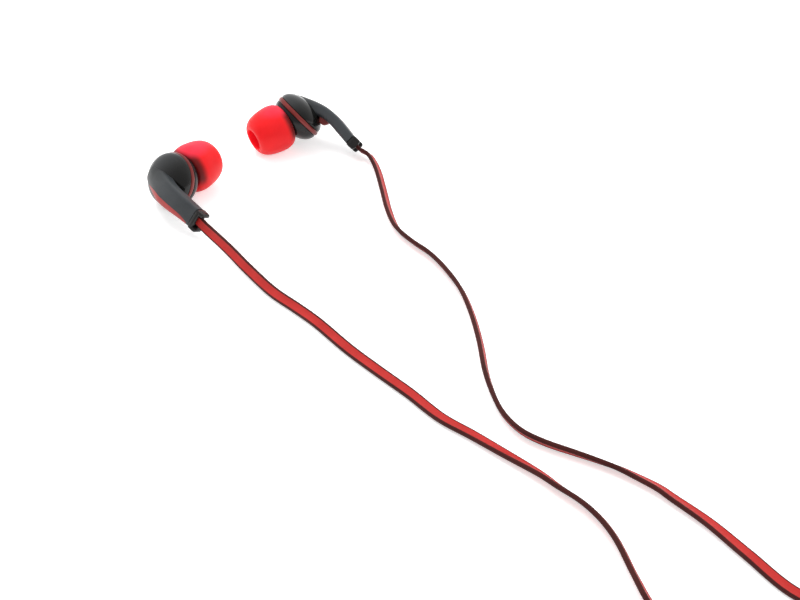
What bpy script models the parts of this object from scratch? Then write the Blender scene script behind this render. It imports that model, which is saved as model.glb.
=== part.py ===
"""Wired in-ear earphones: two earpieces on flat cords, a cord split, a coiled main cord and a plug.

Sizes are in millimetres and are scaled to metres when each object is made. The table is z = 0 and +Z is up.
Earpiece frame: +Z runs along the housing towards the ear, -Y runs down the stem, X is sideways.
The accent ring's middle is the origin of that frame.
"""
import math

import bmesh
import bpy
import numpy as np
from mathutils import Matrix, Vector

MM = 0.001
OBJECT_NAME = "wired_earphones"

# Clearances and fineness
GAP = 0.3
CUT_OVERRUN = 1.0
SEGMENTS = 24
INNER_SEGMENTS = 16
DRILL_SEGMENTS = 8
ROUTE_FINENESS = 24

# Housing
HOUSING_RADIUS = 6.6
RING_RADIUS = 6.75
RING_HALF_WIDTH = 0.55
RING_EDGE = 0.15
SHELL_START = RING_HALF_WIDTH + GAP
SPIGOT_RADIUS = 5.6
SPIGOT_TOP = 1.6
DOME_DEPTH = 3.8
DOME_INNER_RADIUS = 5.8
DOME_INNER_DEPTH = 3.0
BOWL_DEPTH = 4.2
BOWL_INNER_RADIUS = SPIGOT_RADIUS + GAP
BOWL_INNER_DEPTH = 3.4
CURVE_STEPS = 6

# Nozzle and ear tip, measured along the slanted nozzle axis from the ring's middle
# The nozzle leans sideways, and a little away from the stem. The pair is mirrored
NOZZLE_LEAN = 27.7
NOZZLE_LEAN_TURN = 19.6
SIDEWAYS = {"left": -1.0, "right": 1.0}
NOZZLE_RADIUS = 2.35
NOZZLE_BASE = 4.3
NOZZLE_END = 11.6
LIP_RADIUS = 2.6
LIP_LENGTH = 0.7
LIP_CHAMFER = 0.2
SOUND_BORE_RADIUS = 1.75
SOUND_BORE_REACH = 1.5
TIP_RIM = 4.75
TIP_NOSE = 13.93
TIP_RADIUS = 6.14
TIP_WALL = 0.6
TIP_TUBE_REAR = 6.0
TIP_TUBE_WALL = 0.7
TIP_MOUTH_RADIUS = 2.6
TIP_MOUTH_CHAMFER = 0.3
TIP_ROOT_DEPTH = 0.5
# Ear tip's skin from the nose back: share of the radius, share of the length
TIP_SKIN = (
    (0.600, 0.037), (0.775, 0.144), (0.905, 0.310), (0.977, 0.512),
    (1.0, 0.720), (0.992, 0.904), (0.968, 1.0),
)
# The skirt is hollow behind these points of its skin
TIP_LINED_SKIN = TIP_SKIN[2:]
MESH_THICKNESS = 0.3
MESH_HOLE_RADIUS = 0.25
MESH_HOLE_CIRCLE = 0.85
MESH_HOLES = 6

# Loudspeaker
BASKET_RADIUS = 4.6
BASKET_WALL = 0.7
BASKET_TOP = 1.1
BASKET_FLOOR = -2.0
FLOOR_THICKNESS = 0.4
YOKE_RADIUS = BASKET_RADIUS - BASKET_WALL - GAP
YOKE_WALL = 0.4
YOKE_TOP = 0.6
MAGNET_RADIUS = 1.7
MAGNET_HEIGHT = 0.8
TOP_PLATE_RADIUS = 1.8
TOP_PLATE_HEIGHT = 0.4
VOICE_COIL_INNER = 2.15
VOICE_COIL_OUTER = 2.45
VOICE_COIL_BOTTOM = 0.3
VOICE_COIL_TOP = 1.3
DIAPHRAGM_RADIUS = 4.1
DIAPHRAGM_THICKNESS = 0.2
# Share of the radius, rise above the rim
DIAPHRAGM_SHAPE = ((0.0, 0.4), (0.26, 0.3), (0.51, 0.05), (0.66, 0.1), (0.83, 0.2), (1.0, 0.0))
BOARD_SIZE = (3.2, 1.8, 0.4)

# Stem: distance along the stem, then distance behind the ring's plane
STEM_BACK = (
    (-3.0, 4.35), (-1.4, 5.2), (0.2, 5.85), (2.2, 6.5), (4.2, 7.0),
    (6.6, 7.25), (9.0, 7.28), (11.6, 7.05), (14.6, 6.65),
)
STEM_FRONT = ((14.6, 3.85), (11.0, 4.1), (7.8, 4.3), (6.2, 4.2), (4.6, 3.7), (1.0, 3.0), (-2.2, 3.0))
STEM_WIDTH = 5.05
STEM_EDGE = 0.75
# Red rail along the edge of the stem's back that is away from the nozzle's lean
SPINE_WIDTH = 1.3
SPINE_DEPTH = 1.3
SPINE_EDGE = 0.4
SPINE_BACK = STEM_BACK[:-1]
SPINE_OFFSET = 0.5 * (STEM_WIDTH - SPINE_WIDTH)
WEB_OUTLINE = (
    (5.1, 3.5), (6.0, 3.8), (7.6, 3.95), (7.0, 2.4), (6.6, 2.2), (6.35, 2.55), (6.0, 2.9), (5.6, 3.2),
)
WEB_WIDTH = 1.8
LEAD_ROUTE = ((0.9, 3.2), (2.2, 3.6), (3.6, 4.5), (5.4, 5.3), (8.0, 5.75), (11.0, 5.6), (14.3, 5.28))
LEAD_RADIUS = 0.4
LEAD_CHANNEL_RADIUS = LEAD_RADIUS + GAP

# Collar at the stem's end
COLLAR_START = STEM_BACK[-1][0] + GAP
COLLAR_LENGTH = 2.5
COLLAR_DEPTH = 3.1
COLLAR_EDGE = 0.6
COLLAR_BACK = 0.5 * (STEM_BACK[-1][1] + STEM_FRONT[0][1])

# Flat cord
CORD_WIDTH = 2.6
CORD_THICKNESS = 1.0
CORD_STEP = 7.5
TABLE_CLEARANCE = 0.15

# Layout on the table
LAYOUT_SHIFT = (35.77, -50.15)
EARPIECES = {
    "left": {"at": (-55.47, 40.24, 6.53), "ear": (0.524, 0.711, -0.468), "stem": (0.668, -0.685, -0.293)},
    "right": {"at": (-26.6, 70.3, 7.645), "ear": (-0.704, -0.361, -0.612), "stem": (0.691, -0.546, -0.473)},
}
# Free stretch of each branch: x, y, lift off the table, roll. A roll of 0 lies flat and 90 stands on edge
LEFT_ROUTE = (
    (-39.7, 16.6, 1.1, 50), (-34.7, 9.9, 0.4, 42), (-28.5, 1.8, 0, 34), (-22.7, -4.2, 0, 27),
    (-17.7, -9.6, 0, 20), (-10.9, -18.3, 0, 14), (-4.3, -25.7, 0, 9), (2.0, -32.5, 0, 4),
    (7.9, -39.6, 0, -4), (14.1, -44.9, 0, -10),
    (20.2, -50.4, 0, -20), (26.1, -55.8, 0, -36), (29.4, -59.5, 0, -47), (33.0, -63.1, 0, -51),
    (35.8, -67.1, 0, -54), (37.7, -71.2, 0, -58), (38.9, -75.2, 0, -61), (40.2, -80.7, 0, -60),
    (42.7, -88.5, 0, -50), (48.5, -97.0, 0, -35), (58.0, -103.0, 0, -15), (70.0, -105.0, 0, 0),
    (82.0, -102.0, 0, 0), (91.0, -93.0, 0, 0), (96.5, -80.0, 0, 0), (99.5, -65.0, 0, 0), (100.6, -50.0, 0, 0),
    (100.8, -40.0, 0.4, 0),
)
RIGHT_ROUTE = (
    (-7.8, 59.7, 0.7, 132), (-5.8, 53.5, 0.4, 129), (-4.2, 44.2, 0.1, 127), (-2.7, 34.4, 0, 126),
    (-0.7, 26.9, 0, 124), (3.0, 21.2, 0, 129), (6.9, 16.4, 0, 128), (10.2, 10.4, 0, 120), (13.5, 2.3, 0, 117),
    (15.6, -6.9, 0, 116), (16.9, -17.0, 0, 114), (17.6, -27.0, 0, 111), (19.0, -34.9, 0, 111),
    (20.8, -40.2, 0, 116), (23.8, -44.6, 0, 121), (28.0, -47.7, 0, 122), (32.9, -50.2, 0, 125),
    (37.3, -52.4, 0, 131), (41.1, -54.5, 0, 137), (44.5, -56.9, 0, 146), (47.8, -59.5, 0, 152),
    (50.1, -62.1, 0, 156), (55.5, -68.1, 0, 165), (60.8, -75.5, 0, 174), (67.0, -84.0, 0, 180),
    (75.0, -88.5, 0, 180), (83.5, -86.0, 0, 180), (89.0, -78.5, 0, 180), (92.5, -66.0, 0, 180),
    (95.2, -52.0, 0, 180), (96.6, -40.0, 0.4, 180),
)

# Cord split: a flat moulding, narrow at the main cord
SPLIT_AT = (99.0, -27.0)
SPLIT_DIRECTION = (0.05, 1.0)
SPLIT_LENGTH = 13.0
SPLIT_FRONT_HALF = 4.2
SPLIT_REAR_HALF = 2.6
SPLIT_HEIGHT = 3.6
SPLIT_EDGE = 0.6
SPLIT_TAPER_START = 0.35
BRANCH_SPACING = 0.8
BRANCH_OFFSET = 0.5 * (CORD_WIDTH + BRANCH_SPACING)

# Coil of the main cord, wound on edge in two layers
COIL_CENTRE = (129.0, 40.0)
COIL_MEAN_RADIUS = 18.0
COIL_PITCH = 1.6
COIL_TURNS = 3.25
COIL_CLIMB_TURNS = 0.5
COIL_LOOP_POINTS = 24
COIL_LIFT = 1.05
COIL_LAYER_GAP = 0.5
COIL_LAYER_RISE = CORD_WIDTH + COIL_LAYER_GAP
MAIN_LEAD_IN = ((103.0, -3.5, 8), (112.0, 3.0, 30), (126.0, 6.0, 60), (139.0, 11.0, 85), (147.5, 22.5, 90))
TIE_LENGTH = 4.0
TIE_THICKNESS = 0.6

# Plug
PLUG_LEAD = 24.0
PLUG_LEAD_LEVEL = 0.35
PLUG_LEAD_DROP = 0.6
RELIEF_LENGTH = 9.0
RELIEF_REAR_RADIUS = 2.0
RELIEF_FRONT_RADIUS = 2.9
RELIEF_GROOVES = 3
RELIEF_GROOVE_START = 0.75
RELIEF_GROOVE_DEPTH = 0.4
GRIP_LENGTH = 16.0
GRIP_RADIUS = 4.1
GRIP_FILLET = 0.8
GRIP_WAIST = 0.3
PIN_RADIUS = 1.75
SLEEVE_LENGTH = 7.6
INSULATOR_LENGTH = 0.8
CONTACT_RING_LENGTH = 2.4
PIN_TIP_LENGTH = 3.2
PIN_NOSE_RADIUS = 0.6
PIN_NOSE_TAPER = 1.4
PIN_NECK_RADIUS = 1.15
PIN_NECK_AT = 2.4
PIN_SHOULDER_RADIUS = 1.65
PIN_SHOULDER_LENGTH = 0.3
GRIP_LIFT = 0.1
PLUG_AXIS_HEIGHT = GRIP_RADIUS + GRIP_LIFT

# Colour, roughness, metallic
MATERIALS = {
    "red_silicone": ((0.80, 0.030, 0.034), 0.45, 0.0),
    "gloss_black": ((0.018, 0.018, 0.019), 0.16, 0.0),
    "matte_grey": ((0.060, 0.064, 0.070), 0.55, 0.0),
    "accent_red": ((0.230, 0.030, 0.026), 0.30, 0.0),
    "spine_red": ((0.360, 0.055, 0.050), 0.40, 0.0),
    "cord_red": ((0.560, 0.050, 0.045), 0.45, 0.0),
    "steel": ((0.55, 0.56, 0.58), 0.30, 1.0),
    "magnet": ((0.32, 0.32, 0.34), 0.35, 1.0),
    "plated": ((0.80, 0.78, 0.74), 0.22, 1.0),
    "copper": ((0.72, 0.34, 0.18), 0.35, 1.0),
    "film": ((0.62, 0.60, 0.52), 0.30, 0.0),
    "board_green": ((0.030, 0.160, 0.070), 0.45, 0.0),
    "black_plastic": ((0.022, 0.022, 0.024), 0.35, 0.0),
}


def clear_scene():
    """Empty the file of objects before the part is built."""
    for old in list(bpy.data.objects):
        bpy.data.objects.remove(old, do_unlink=True)


def make_materials():
    """One Principled material for each finish."""
    made = {}
    for name, (colour, roughness, metallic) in MATERIALS.items():
        material = bpy.data.materials.new(name)
        material.use_nodes = True
        shader = material.node_tree.nodes["Principled BSDF"]
        shader.inputs["Base Color"].default_value = (*colour, 1.0)
        shader.inputs["Roughness"].default_value = roughness
        shader.inputs["Metallic"].default_value = metallic
        made[name] = material
    return made


clear_scene()
FINISH = make_materials()
PARTS = bpy.data.collections.new(OBJECT_NAME)
CUTTERS = bpy.data.collections.new("cutters")
bpy.context.scene.collection.children.link(PARTS)
bpy.context.scene.collection.children.link(CUTTERS)


def add_object(name, data, finish=None, parent=None, matrix=None):
    """Link a piece, or a cutter when it has no finish, under its parent."""
    piece = bpy.data.objects.new(name, data)
    (PARTS if finish else CUTTERS).objects.link(piece)
    if finish:
        data.materials.append(FINISH[finish])
    else:
        piece.hide_render = True
        piece.display_type = "WIRE"
    piece.parent = parent
    piece.matrix_local = matrix or Matrix.Identity(4)
    return piece


def add_frame(name, parent=None, matrix=None):
    """An empty that carries a group of pieces."""
    frame = bpy.data.objects.new(name, None)
    PARTS.objects.link(frame)
    frame.parent = parent
    frame.matrix_local = matrix or Matrix.Identity(4)
    return frame


def turned(name, profile, finish=None, parent=None, closed=False, steps=SEGMENTS):
    """Turn a profile of (radius, height) pairs about the local Z axis."""
    points = [(radius * MM, 0.0, height * MM) for radius, height in profile]
    edges = [(i, i + 1) for i in range(len(points) - 1)]
    if closed:
        edges.append((len(points) - 1, 0))
    mesh = bpy.data.meshes.new(name)
    mesh.from_pydata(points, edges, [])
    piece = add_object(name, mesh, finish, parent)
    screw = piece.modifiers.new("turn", "SCREW")
    screw.axis = "Z"
    screw.angle = 2.0 * math.pi
    screw.steps = steps
    screw.render_steps = steps
    screw.use_merge_vertices = True
    screw.merge_threshold = 0.00001
    screw.use_smooth_shade = True
    return piece


def cut(piece, cutter, operation="DIFFERENCE"):
    """Cut a piece with a cutter, or join the two."""
    boolean = piece.modifiers.new(operation.lower(), "BOOLEAN")
    boolean.operation = operation
    boolean.solver = "EXACT"
    boolean.object = cutter


def box(name, size, centre, finish=None, parent=None, edge=0.0):
    """A block with softened edges."""
    half = [0.5 * side * MM for side in size]
    spans = [(-side, side) for side in half]
    corners = [(x, y, z) for x in spans[0] for y in spans[1] for z in spans[2]]
    faces = [(0, 1, 3, 2), (4, 6, 7, 5), (0, 4, 5, 1), (2, 3, 7, 6), (0, 2, 6, 4), (1, 5, 7, 3)]
    mesh = bpy.data.meshes.new(name)
    mesh.from_pydata(corners, [], faces)
    piece = add_object(name, mesh, finish, parent, Matrix.Translation(Vector(centre) * MM))
    if edge:
        bevel = piece.modifiers.new("edge", "BEVEL")
        bevel.width = edge * MM
        bevel.segments = 2
    return piece


def plate(name, outline, width, finish=None, parent=None, matrix=None, edge=0.0):
    """A flat outline given thickness, with rounded edges kept inside the outline."""
    curve = bpy.data.curves.new(name, "CURVE")
    curve.dimensions = "2D"
    curve.fill_mode = "BOTH"
    curve.extrude = (0.5 * width - edge) * MM
    curve.bevel_depth = edge * MM
    curve.bevel_resolution = 1
    curve.offset = -edge * MM
    spline = curve.splines.new("POLY")
    spline.points.add(len(outline) - 1)
    for point, (u, v) in zip(spline.points, outline):
        point.co = (u * MM, v * MM, 0.0, 1.0)
    spline.use_cyclic_u = True
    return solid_from_curve(name, curve, finish, parent, matrix)


def solid_from_curve(name, curve, finish=None, parent=None, matrix=None):
    """Turn a curve into a mesh whose caps are welded to its sides."""
    holder = bpy.data.objects.new(name + "_curve", curve)
    bpy.context.scene.collection.objects.link(holder)
    bpy.context.view_layer.update()
    mesh = bpy.data.meshes.new_from_object(holder.evaluated_get(bpy.context.evaluated_depsgraph_get()))
    bpy.data.objects.remove(holder, do_unlink=True)
    bpy.data.curves.remove(curve)
    mesh.materials.clear()
    weld_mesh(mesh)
    return add_object(name, mesh, finish, parent, matrix)


def weld_mesh(mesh):
    """Join the points of caps and sides that lie together."""
    work = bmesh.new()
    work.from_mesh(mesh)
    bmesh.ops.remove_doubles(work, verts=work.verts, dist=0.001 * MM)
    bmesh.ops.recalc_face_normals(work, faces=work.faces)
    work.to_mesh(mesh)
    work.free()


def tube_curve(name, points, radius):
    """A round tube through points in millimetres."""
    curve = bpy.data.curves.new(name, "CURVE")
    curve.dimensions = "3D"
    curve.bevel_depth = radius * MM
    curve.bevel_resolution = 1
    curve.use_fill_caps = True
    spline = curve.splines.new("POLY")
    spline.points.add(len(points) - 1)
    for point, place in zip(spline.points, points):
        point.co = (*(Vector(place) * MM), 1.0)
    return curve


def quarter(radius, depth, start, degrees):
    """Points on a quarter ellipse that meets the axis at 90 degrees."""
    return [
        (radius * math.cos(math.radians(angle)), start + depth * math.sin(math.radians(angle)))
        for angle in degrees
    ]


def disc(radius, bottom, top):
    """Profile of a plain cylinder."""
    return [(0.0, top), (radius, top), (radius, bottom), (0.0, bottom)]


def cup(radius, wall, bottom, floor, rim):
    """Profile of an open cup with a flat floor."""
    inner = radius - wall
    return [(0.0, floor), (inner, floor), (inner, rim), (radius, rim), (radius, bottom), (0.0, bottom)]


def smooth_route(points, step):
    """Evenly spaced places on a smooth curve through the points, with any further columns carried along."""
    points = np.array(points, float)
    padded = np.vstack([2 * points[0] - points[1], points, 2 * points[-1] - points[-2]])
    fine = []
    for a, b, c, d in zip(padded, padded[1:], padded[2:], padded[3:]):
        for t in np.linspace(0.0, 1.0, ROUTE_FINENESS, endpoint=False):
            square = (2 * a - 5 * b + 4 * c - d) * t**2
            cube = (3 * b - a - 3 * c + d) * t**3
            fine.append(0.5 * (2 * b + (c - a) * t + square + cube))
    fine = np.array(fine + [points[-1]])
    along = np.r_[0.0, np.cumsum(np.linalg.norm(np.diff(fine[:, :3], axis=0), axis=1))]
    count = max(2, int(round(along[-1] / step)) + 1)
    wanted = np.linspace(0.0, along[-1], count)
    return np.stack([np.interp(wanted, along, column) for column in fine.T], axis=1)


def route_length(stations):
    """Length of a cord along its middle."""
    return np.linalg.norm(np.diff(np.array(stations)[:, :3], axis=0), axis=1).sum()


def flat_cord(name, stations, finish):
    """A flat cord through (x, y, z, roll) stations. A roll of 0 lies flat and 90 stands on edge."""
    curve = bpy.data.curves.new(name, "CURVE")
    curve.dimensions = "3D"
    curve.twist_mode = "Z_UP"
    curve.extrude = 0.5 * (CORD_WIDTH - CORD_THICKNESS) * MM
    curve.bevel_depth = 0.5 * CORD_THICKNESS * MM
    curve.bevel_resolution = 1
    curve.use_fill_caps = True
    spline = curve.splines.new("POLY")
    spline.points.add(len(stations) - 1)
    for point, (x, y, z, roll) in zip(spline.points, stations):
        point.co = (x * MM, y * MM, z * MM, 1.0)
        point.tilt = math.radians(roll - 90.0)
    return add_object(name, curve, finish)


def resting_height(roll):
    """Height of a flat cord's middle when its lower edge is on the table."""
    lean = abs(math.sin(math.radians(roll)))
    return 0.5 * CORD_THICKNESS + 0.5 * (CORD_WIDTH - CORD_THICKNESS) * lean + TABLE_CLEARANCE


def on_table(x, y):
    """Move a layout position so that the middle of the two earpieces is the origin."""
    return x + LAYOUT_SHIFT[0], y + LAYOUT_SHIFT[1]


def earpiece_matrix(pose):
    """The earpiece frame from its place, its ear direction and its stem direction."""
    ear = Vector(pose["ear"]).normalized()
    stem = Vector(pose["stem"])
    stem = (stem - ear * stem.dot(ear)).normalized()
    across = (-stem).cross(ear)
    x, y = on_table(*pose["at"][:2])
    rotation = Matrix((across, -stem, ear)).transposed().to_4x4()
    return Matrix.Translation(Vector((x, y, pose["at"][2])) * MM) @ rotation


# Places an outline of (along the stem, behind the ring) in the earpiece frame, with its thickness sideways
STEM_FRAME = Matrix(((0, 0, 1, 0), (-1, 0, 0, 0), (0, -1, 0, 0), (0, 0, 0, 1)))


def stem_point(along, back):
    """A point on the stem's middle plane in the earpiece frame."""
    return 0.0, -along, -back


def nozzle_slant(side):
    """Turn of the nozzle axis away from the housing's axis."""
    turn = math.radians(NOZZLE_LEAN_TURN)
    axis = Vector((-math.sin(turn), SIDEWAYS[side] * math.cos(turn), 0.0))
    return Matrix.Rotation(math.radians(NOZZLE_LEAN), 4, axis)


def shell_angles(first, last):
    """Evenly spaced angles along a shell's curve."""
    return np.linspace(first, last, CURVE_STEPS + 1)


def build_housing(side, frame, nozzle):
    """Dome, ring and bowl with its slanted nozzle."""
    outer = quarter(HOUSING_RADIUS, DOME_DEPTH, SHELL_START, shell_angles(0.0, 90.0))
    basket_seat = BASKET_RADIUS + GAP
    seat_angle = math.degrees(math.acos(basket_seat / DOME_INNER_RADIUS))
    inner = quarter(DOME_INNER_RADIUS, DOME_INNER_DEPTH, SHELL_START, shell_angles(90.0, seat_angle))
    profile = [(radius, -height) for radius, height in inner]
    profile += [(basket_seat, SPIGOT_TOP), (SPIGOT_RADIUS, SPIGOT_TOP), (SPIGOT_RADIUS, -SHELL_START)]
    profile += [(radius, -height) for radius, height in outer]
    profile[0] = (0.0, profile[0][1])
    profile[-1] = (0.0, profile[-1][1])
    rear = turned(f"{side}_rear_housing", profile, "gloss_black", frame)

    ring_inner = SPIGOT_RADIUS + GAP
    ring_face = RING_RADIUS - RING_EDGE
    ring_crown = RING_HALF_WIDTH - RING_EDGE
    ring = [
        (ring_face, RING_HALF_WIDTH), (RING_RADIUS, ring_crown), (RING_RADIUS, -ring_crown),
        (ring_face, -RING_HALF_WIDTH), (ring_inner, -RING_HALF_WIDTH), (ring_inner, RING_HALF_WIDTH),
    ]
    turned(f"{side}_accent_ring", ring, "accent_red", frame, closed=True)

    bowl = quarter(HOUSING_RADIUS, BOWL_DEPTH, SHELL_START, shell_angles(90.0, 0.0))
    bowl += quarter(BOWL_INNER_RADIUS, BOWL_INNER_DEPTH, SHELL_START, shell_angles(0.0, 90.0))
    bowl[0] = (0.0, bowl[0][1])
    bowl[-1] = (0.0, bowl[-1][1])
    front = turned(f"{side}_front_housing", bowl, "gloss_black", frame)
    lip_rear = NOZZLE_END - LIP_LENGTH
    pipe = [
        (0.0, NOZZLE_END), (LIP_RADIUS - LIP_CHAMFER, NOZZLE_END), (LIP_RADIUS, NOZZLE_END - LIP_CHAMFER),
        (LIP_RADIUS, lip_rear), (NOZZLE_RADIUS, lip_rear - LIP_CHAMFER),
        (NOZZLE_RADIUS, NOZZLE_BASE), (0.0, NOZZLE_BASE),
    ]
    cut(front, turned(f"{side}_nozzle_blank", pipe, parent=nozzle), "UNION")
    bore = disc(SOUND_BORE_RADIUS, NOZZLE_BASE - SOUND_BORE_REACH, NOZZLE_END + CUT_OVERRUN)
    cut(front, turned(f"{side}_bore_cutter", bore, parent=nozzle))
    return rear


def build_tip(side, nozzle):
    """Ear tip and the screen in the nozzle's mouth."""
    bore = LIP_RADIUS + GAP
    tube = bore + TIP_TUBE_WALL
    shoulder = NOZZLE_END + GAP
    length = TIP_NOSE - TIP_RIM
    skin = [(TIP_RADIUS * share, TIP_NOSE - length * back) for share, back in TIP_SKIN]
    lining = [(TIP_RADIUS * share - TIP_WALL, TIP_NOSE - length * back) for share, back in TIP_LINED_SKIN]
    root = shoulder - TIP_ROOT_DEPTH
    tip = [(TIP_MOUTH_RADIUS + TIP_MOUTH_CHAMFER, TIP_NOSE)] + skin + lining[::-1]
    tip += [
        (tube, root), (tube, TIP_TUBE_REAR), (bore, TIP_TUBE_REAR), (bore, shoulder),
        (TIP_MOUTH_RADIUS, shoulder), (TIP_MOUTH_RADIUS, TIP_NOSE - TIP_MOUTH_CHAMFER),
    ]
    turned(f"{side}_ear_tip", tip, "red_silicone", nozzle, closed=True)

    top = NOZZLE_END - GAP
    rim = SOUND_BORE_RADIUS - GAP
    screen_profile = disc(rim, top - MESH_THICKNESS, top)
    screen = turned(f"{side}_nozzle_mesh", screen_profile, "steel", nozzle, steps=INNER_SEGMENTS)
    hole = disc(MESH_HOLE_RADIUS, -CUT_OVERRUN, CUT_OVERRUN)
    for i in range(MESH_HOLES):
        angle = 2.0 * math.pi * i / MESH_HOLES
        drill = turned(f"{side}_mesh_drill_{i + 1}", hole, parent=nozzle, steps=DRILL_SEGMENTS)
        place = Vector((MESH_HOLE_CIRCLE * math.cos(angle), MESH_HOLE_CIRCLE * math.sin(angle), top))
        drill.matrix_local = Matrix.Translation(place * MM)
        cut(screen, drill)


def build_driver(side, frame):
    """Loudspeaker: basket, motor, moving diaphragm with its voice coil, and the solder board."""
    floor = BASKET_FLOOR + FLOOR_THICKNESS
    basket = cup(BASKET_RADIUS, BASKET_WALL, BASKET_FLOOR, floor, BASKET_TOP)
    turned(f"{side}_driver_basket", basket, "black_plastic", frame, steps=INNER_SEGMENTS)

    yoke_bottom = floor + GAP
    yoke_floor = yoke_bottom + FLOOR_THICKNESS
    yoke = cup(YOKE_RADIUS, YOKE_WALL, yoke_bottom, yoke_floor, YOKE_TOP)
    turned(f"{side}_driver_yoke", yoke, "steel", frame, steps=INNER_SEGMENTS)

    magnet_bottom = yoke_floor + GAP
    magnet_top = magnet_bottom + MAGNET_HEIGHT
    magnet = disc(MAGNET_RADIUS, magnet_bottom, magnet_top)
    turned(f"{side}_driver_magnet", magnet, "magnet", frame, steps=INNER_SEGMENTS)

    plate_bottom = magnet_top + GAP
    top_plate = disc(TOP_PLATE_RADIUS, plate_bottom, plate_bottom + TOP_PLATE_HEIGHT)
    turned(f"{side}_driver_top_plate", top_plate, "steel", frame, steps=INNER_SEGMENTS)

    coil = [
        (VOICE_COIL_OUTER, VOICE_COIL_TOP), (VOICE_COIL_OUTER, VOICE_COIL_BOTTOM),
        (VOICE_COIL_INNER, VOICE_COIL_BOTTOM), (VOICE_COIL_INNER, VOICE_COIL_TOP),
    ]
    turned(f"{side}_voice_coil", coil, "copper", frame, closed=True, steps=INNER_SEGMENTS)

    valley = VOICE_COIL_TOP + GAP + DIAPHRAGM_THICKNESS
    crown = [(DIAPHRAGM_RADIUS * share, valley + rise) for share, rise in DIAPHRAGM_SHAPE]
    under = [(radius, height - DIAPHRAGM_THICKNESS) for radius, height in reversed(crown)]
    turned(f"{side}_diaphragm", crown + under, "film", frame, steps=INNER_SEGMENTS)

    board_middle = BASKET_FLOOR - GAP - 0.5 * BOARD_SIZE[2]
    box(f"{side}_terminal_board", BOARD_SIZE, (0.0, 0.0, board_middle), "board_green", frame)


def build_stem(side, frame, rear):
    """Curved arm with its red spine and web, the lead inside it and the collar at its end."""
    outline = STEM_BACK + STEM_FRONT
    body = plate(f"{side}_stem_body", outline, STEM_WIDTH, "matte_grey", frame, STEM_FRAME, STEM_EDGE)
    keep_clear = quarter(HOUSING_RADIUS + GAP, DOME_DEPTH + GAP, SHELL_START, shell_angles(0.0, 90.0))
    dome = [(0.0, 0.0), (HOUSING_RADIUS + GAP, 0.0)] + [(radius, -height) for radius, height in keep_clear]
    dome[-1] = (0.0, dome[-1][1])
    dome_cutter = turned(f"{side}_dome_cutter", dome, parent=frame)
    cut(body, dome_cutter)

    rail_side = -SIDEWAYS[side]
    rail_frame = Matrix.Translation(Vector((rail_side * SPINE_OFFSET * MM, 0.0, 0.0))) @ STEM_FRAME
    sunk = [(along, back - SPINE_DEPTH) for along, back in reversed(SPINE_BACK)]
    rail = list(SPINE_BACK) + sunk
    spine = plate(f"{side}_stem_spine", rail, SPINE_WIDTH, "spine_red", frame, rail_frame, SPINE_EDGE)
    cut(spine, dome_cutter)
    first, last = SPINE_BACK[0][0] - GAP, SPINE_BACK[-1][0] + GAP
    groove_line = [(first, SPINE_BACK[0][1])] + list(SPINE_BACK[1:-1]) + [(last, SPINE_BACK[-1][1])]
    over = [(along, back + CUT_OVERRUN) for along, back in groove_line]
    under = [(along, back - SPINE_DEPTH - GAP) for along, back in reversed(groove_line)]
    groove_width = SPINE_WIDTH + GAP + CUT_OVERRUN
    groove_offset = 0.5 * (STEM_WIDTH + CUT_OVERRUN - SPINE_WIDTH - GAP)
    groove_frame = Matrix.Translation(Vector((rail_side * groove_offset * MM, 0.0, 0.0))) @ STEM_FRAME
    groove = plate(f"{side}_spine_groove", over + under, groove_width, parent=frame, matrix=groove_frame)
    cut(body, groove)

    plate(f"{side}_stem_web", WEB_OUTLINE, WEB_WIDTH, "spine_red", frame, STEM_FRAME)

    lead_points = [stem_point(*point) for point in LEAD_ROUTE]
    solid_from_curve(f"{side}_lead", tube_curve("lead", lead_points, LEAD_RADIUS), "copper", frame)
    overrun = stem_point(COLLAR_START + CUT_OVERRUN, LEAD_ROUTE[-1][1])
    channel_curve = tube_curve("channel", lead_points + [overrun], LEAD_CHANNEL_RADIUS)
    channel = solid_from_curve(f"{side}_lead_channel", channel_curve, parent=frame)
    cut(body, channel)
    cut(rear, channel)

    middle = stem_point(COLLAR_START + 0.5 * COLLAR_LENGTH, COLLAR_BACK)
    collar_size = (STEM_WIDTH, COLLAR_LENGTH, COLLAR_DEPTH)
    collar = box(f"{side}_cord_collar", collar_size, middle, "gloss_black", frame, COLLAR_EDGE)
    slot_size = (CORD_WIDTH + 2 * GAP, COLLAR_LENGTH + 2 * CUT_OVERRUN, CORD_THICKNESS + 2 * GAP)
    cut(collar, box(f"{side}_collar_slot", slot_size, middle, parent=frame))


def build_earpiece(side, pose):
    """All pieces of one earpiece. Returns where its cord leaves the stem, which way and how it lies."""
    frame = add_frame(f"{side}_earpiece", matrix=earpiece_matrix(pose))
    nozzle = add_frame(f"{side}_nozzle_axis", frame, nozzle_slant(side))
    rear = build_housing(side, frame, nozzle)
    build_tip(side, nozzle)
    build_driver(side, frame)
    build_stem(side, frame, rear)
    world = frame.matrix_local
    seat = world @ (Vector(stem_point(COLLAR_START, COLLAR_BACK)) * MM) / MM
    mouth = world @ (Vector(stem_point(COLLAR_START + COLLAR_LENGTH, COLLAR_BACK)) * MM) / MM
    run = (mouth - seat).normalized()
    left_hand = Vector((0, 0, 1)).cross(run).normalized()
    width = world.to_3x3() @ Vector((1, 0, 0))
    roll = math.degrees(math.atan2(width.dot(run.cross(left_hand)), width.dot(left_hand)))
    return seat, mouth, run, roll


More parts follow.
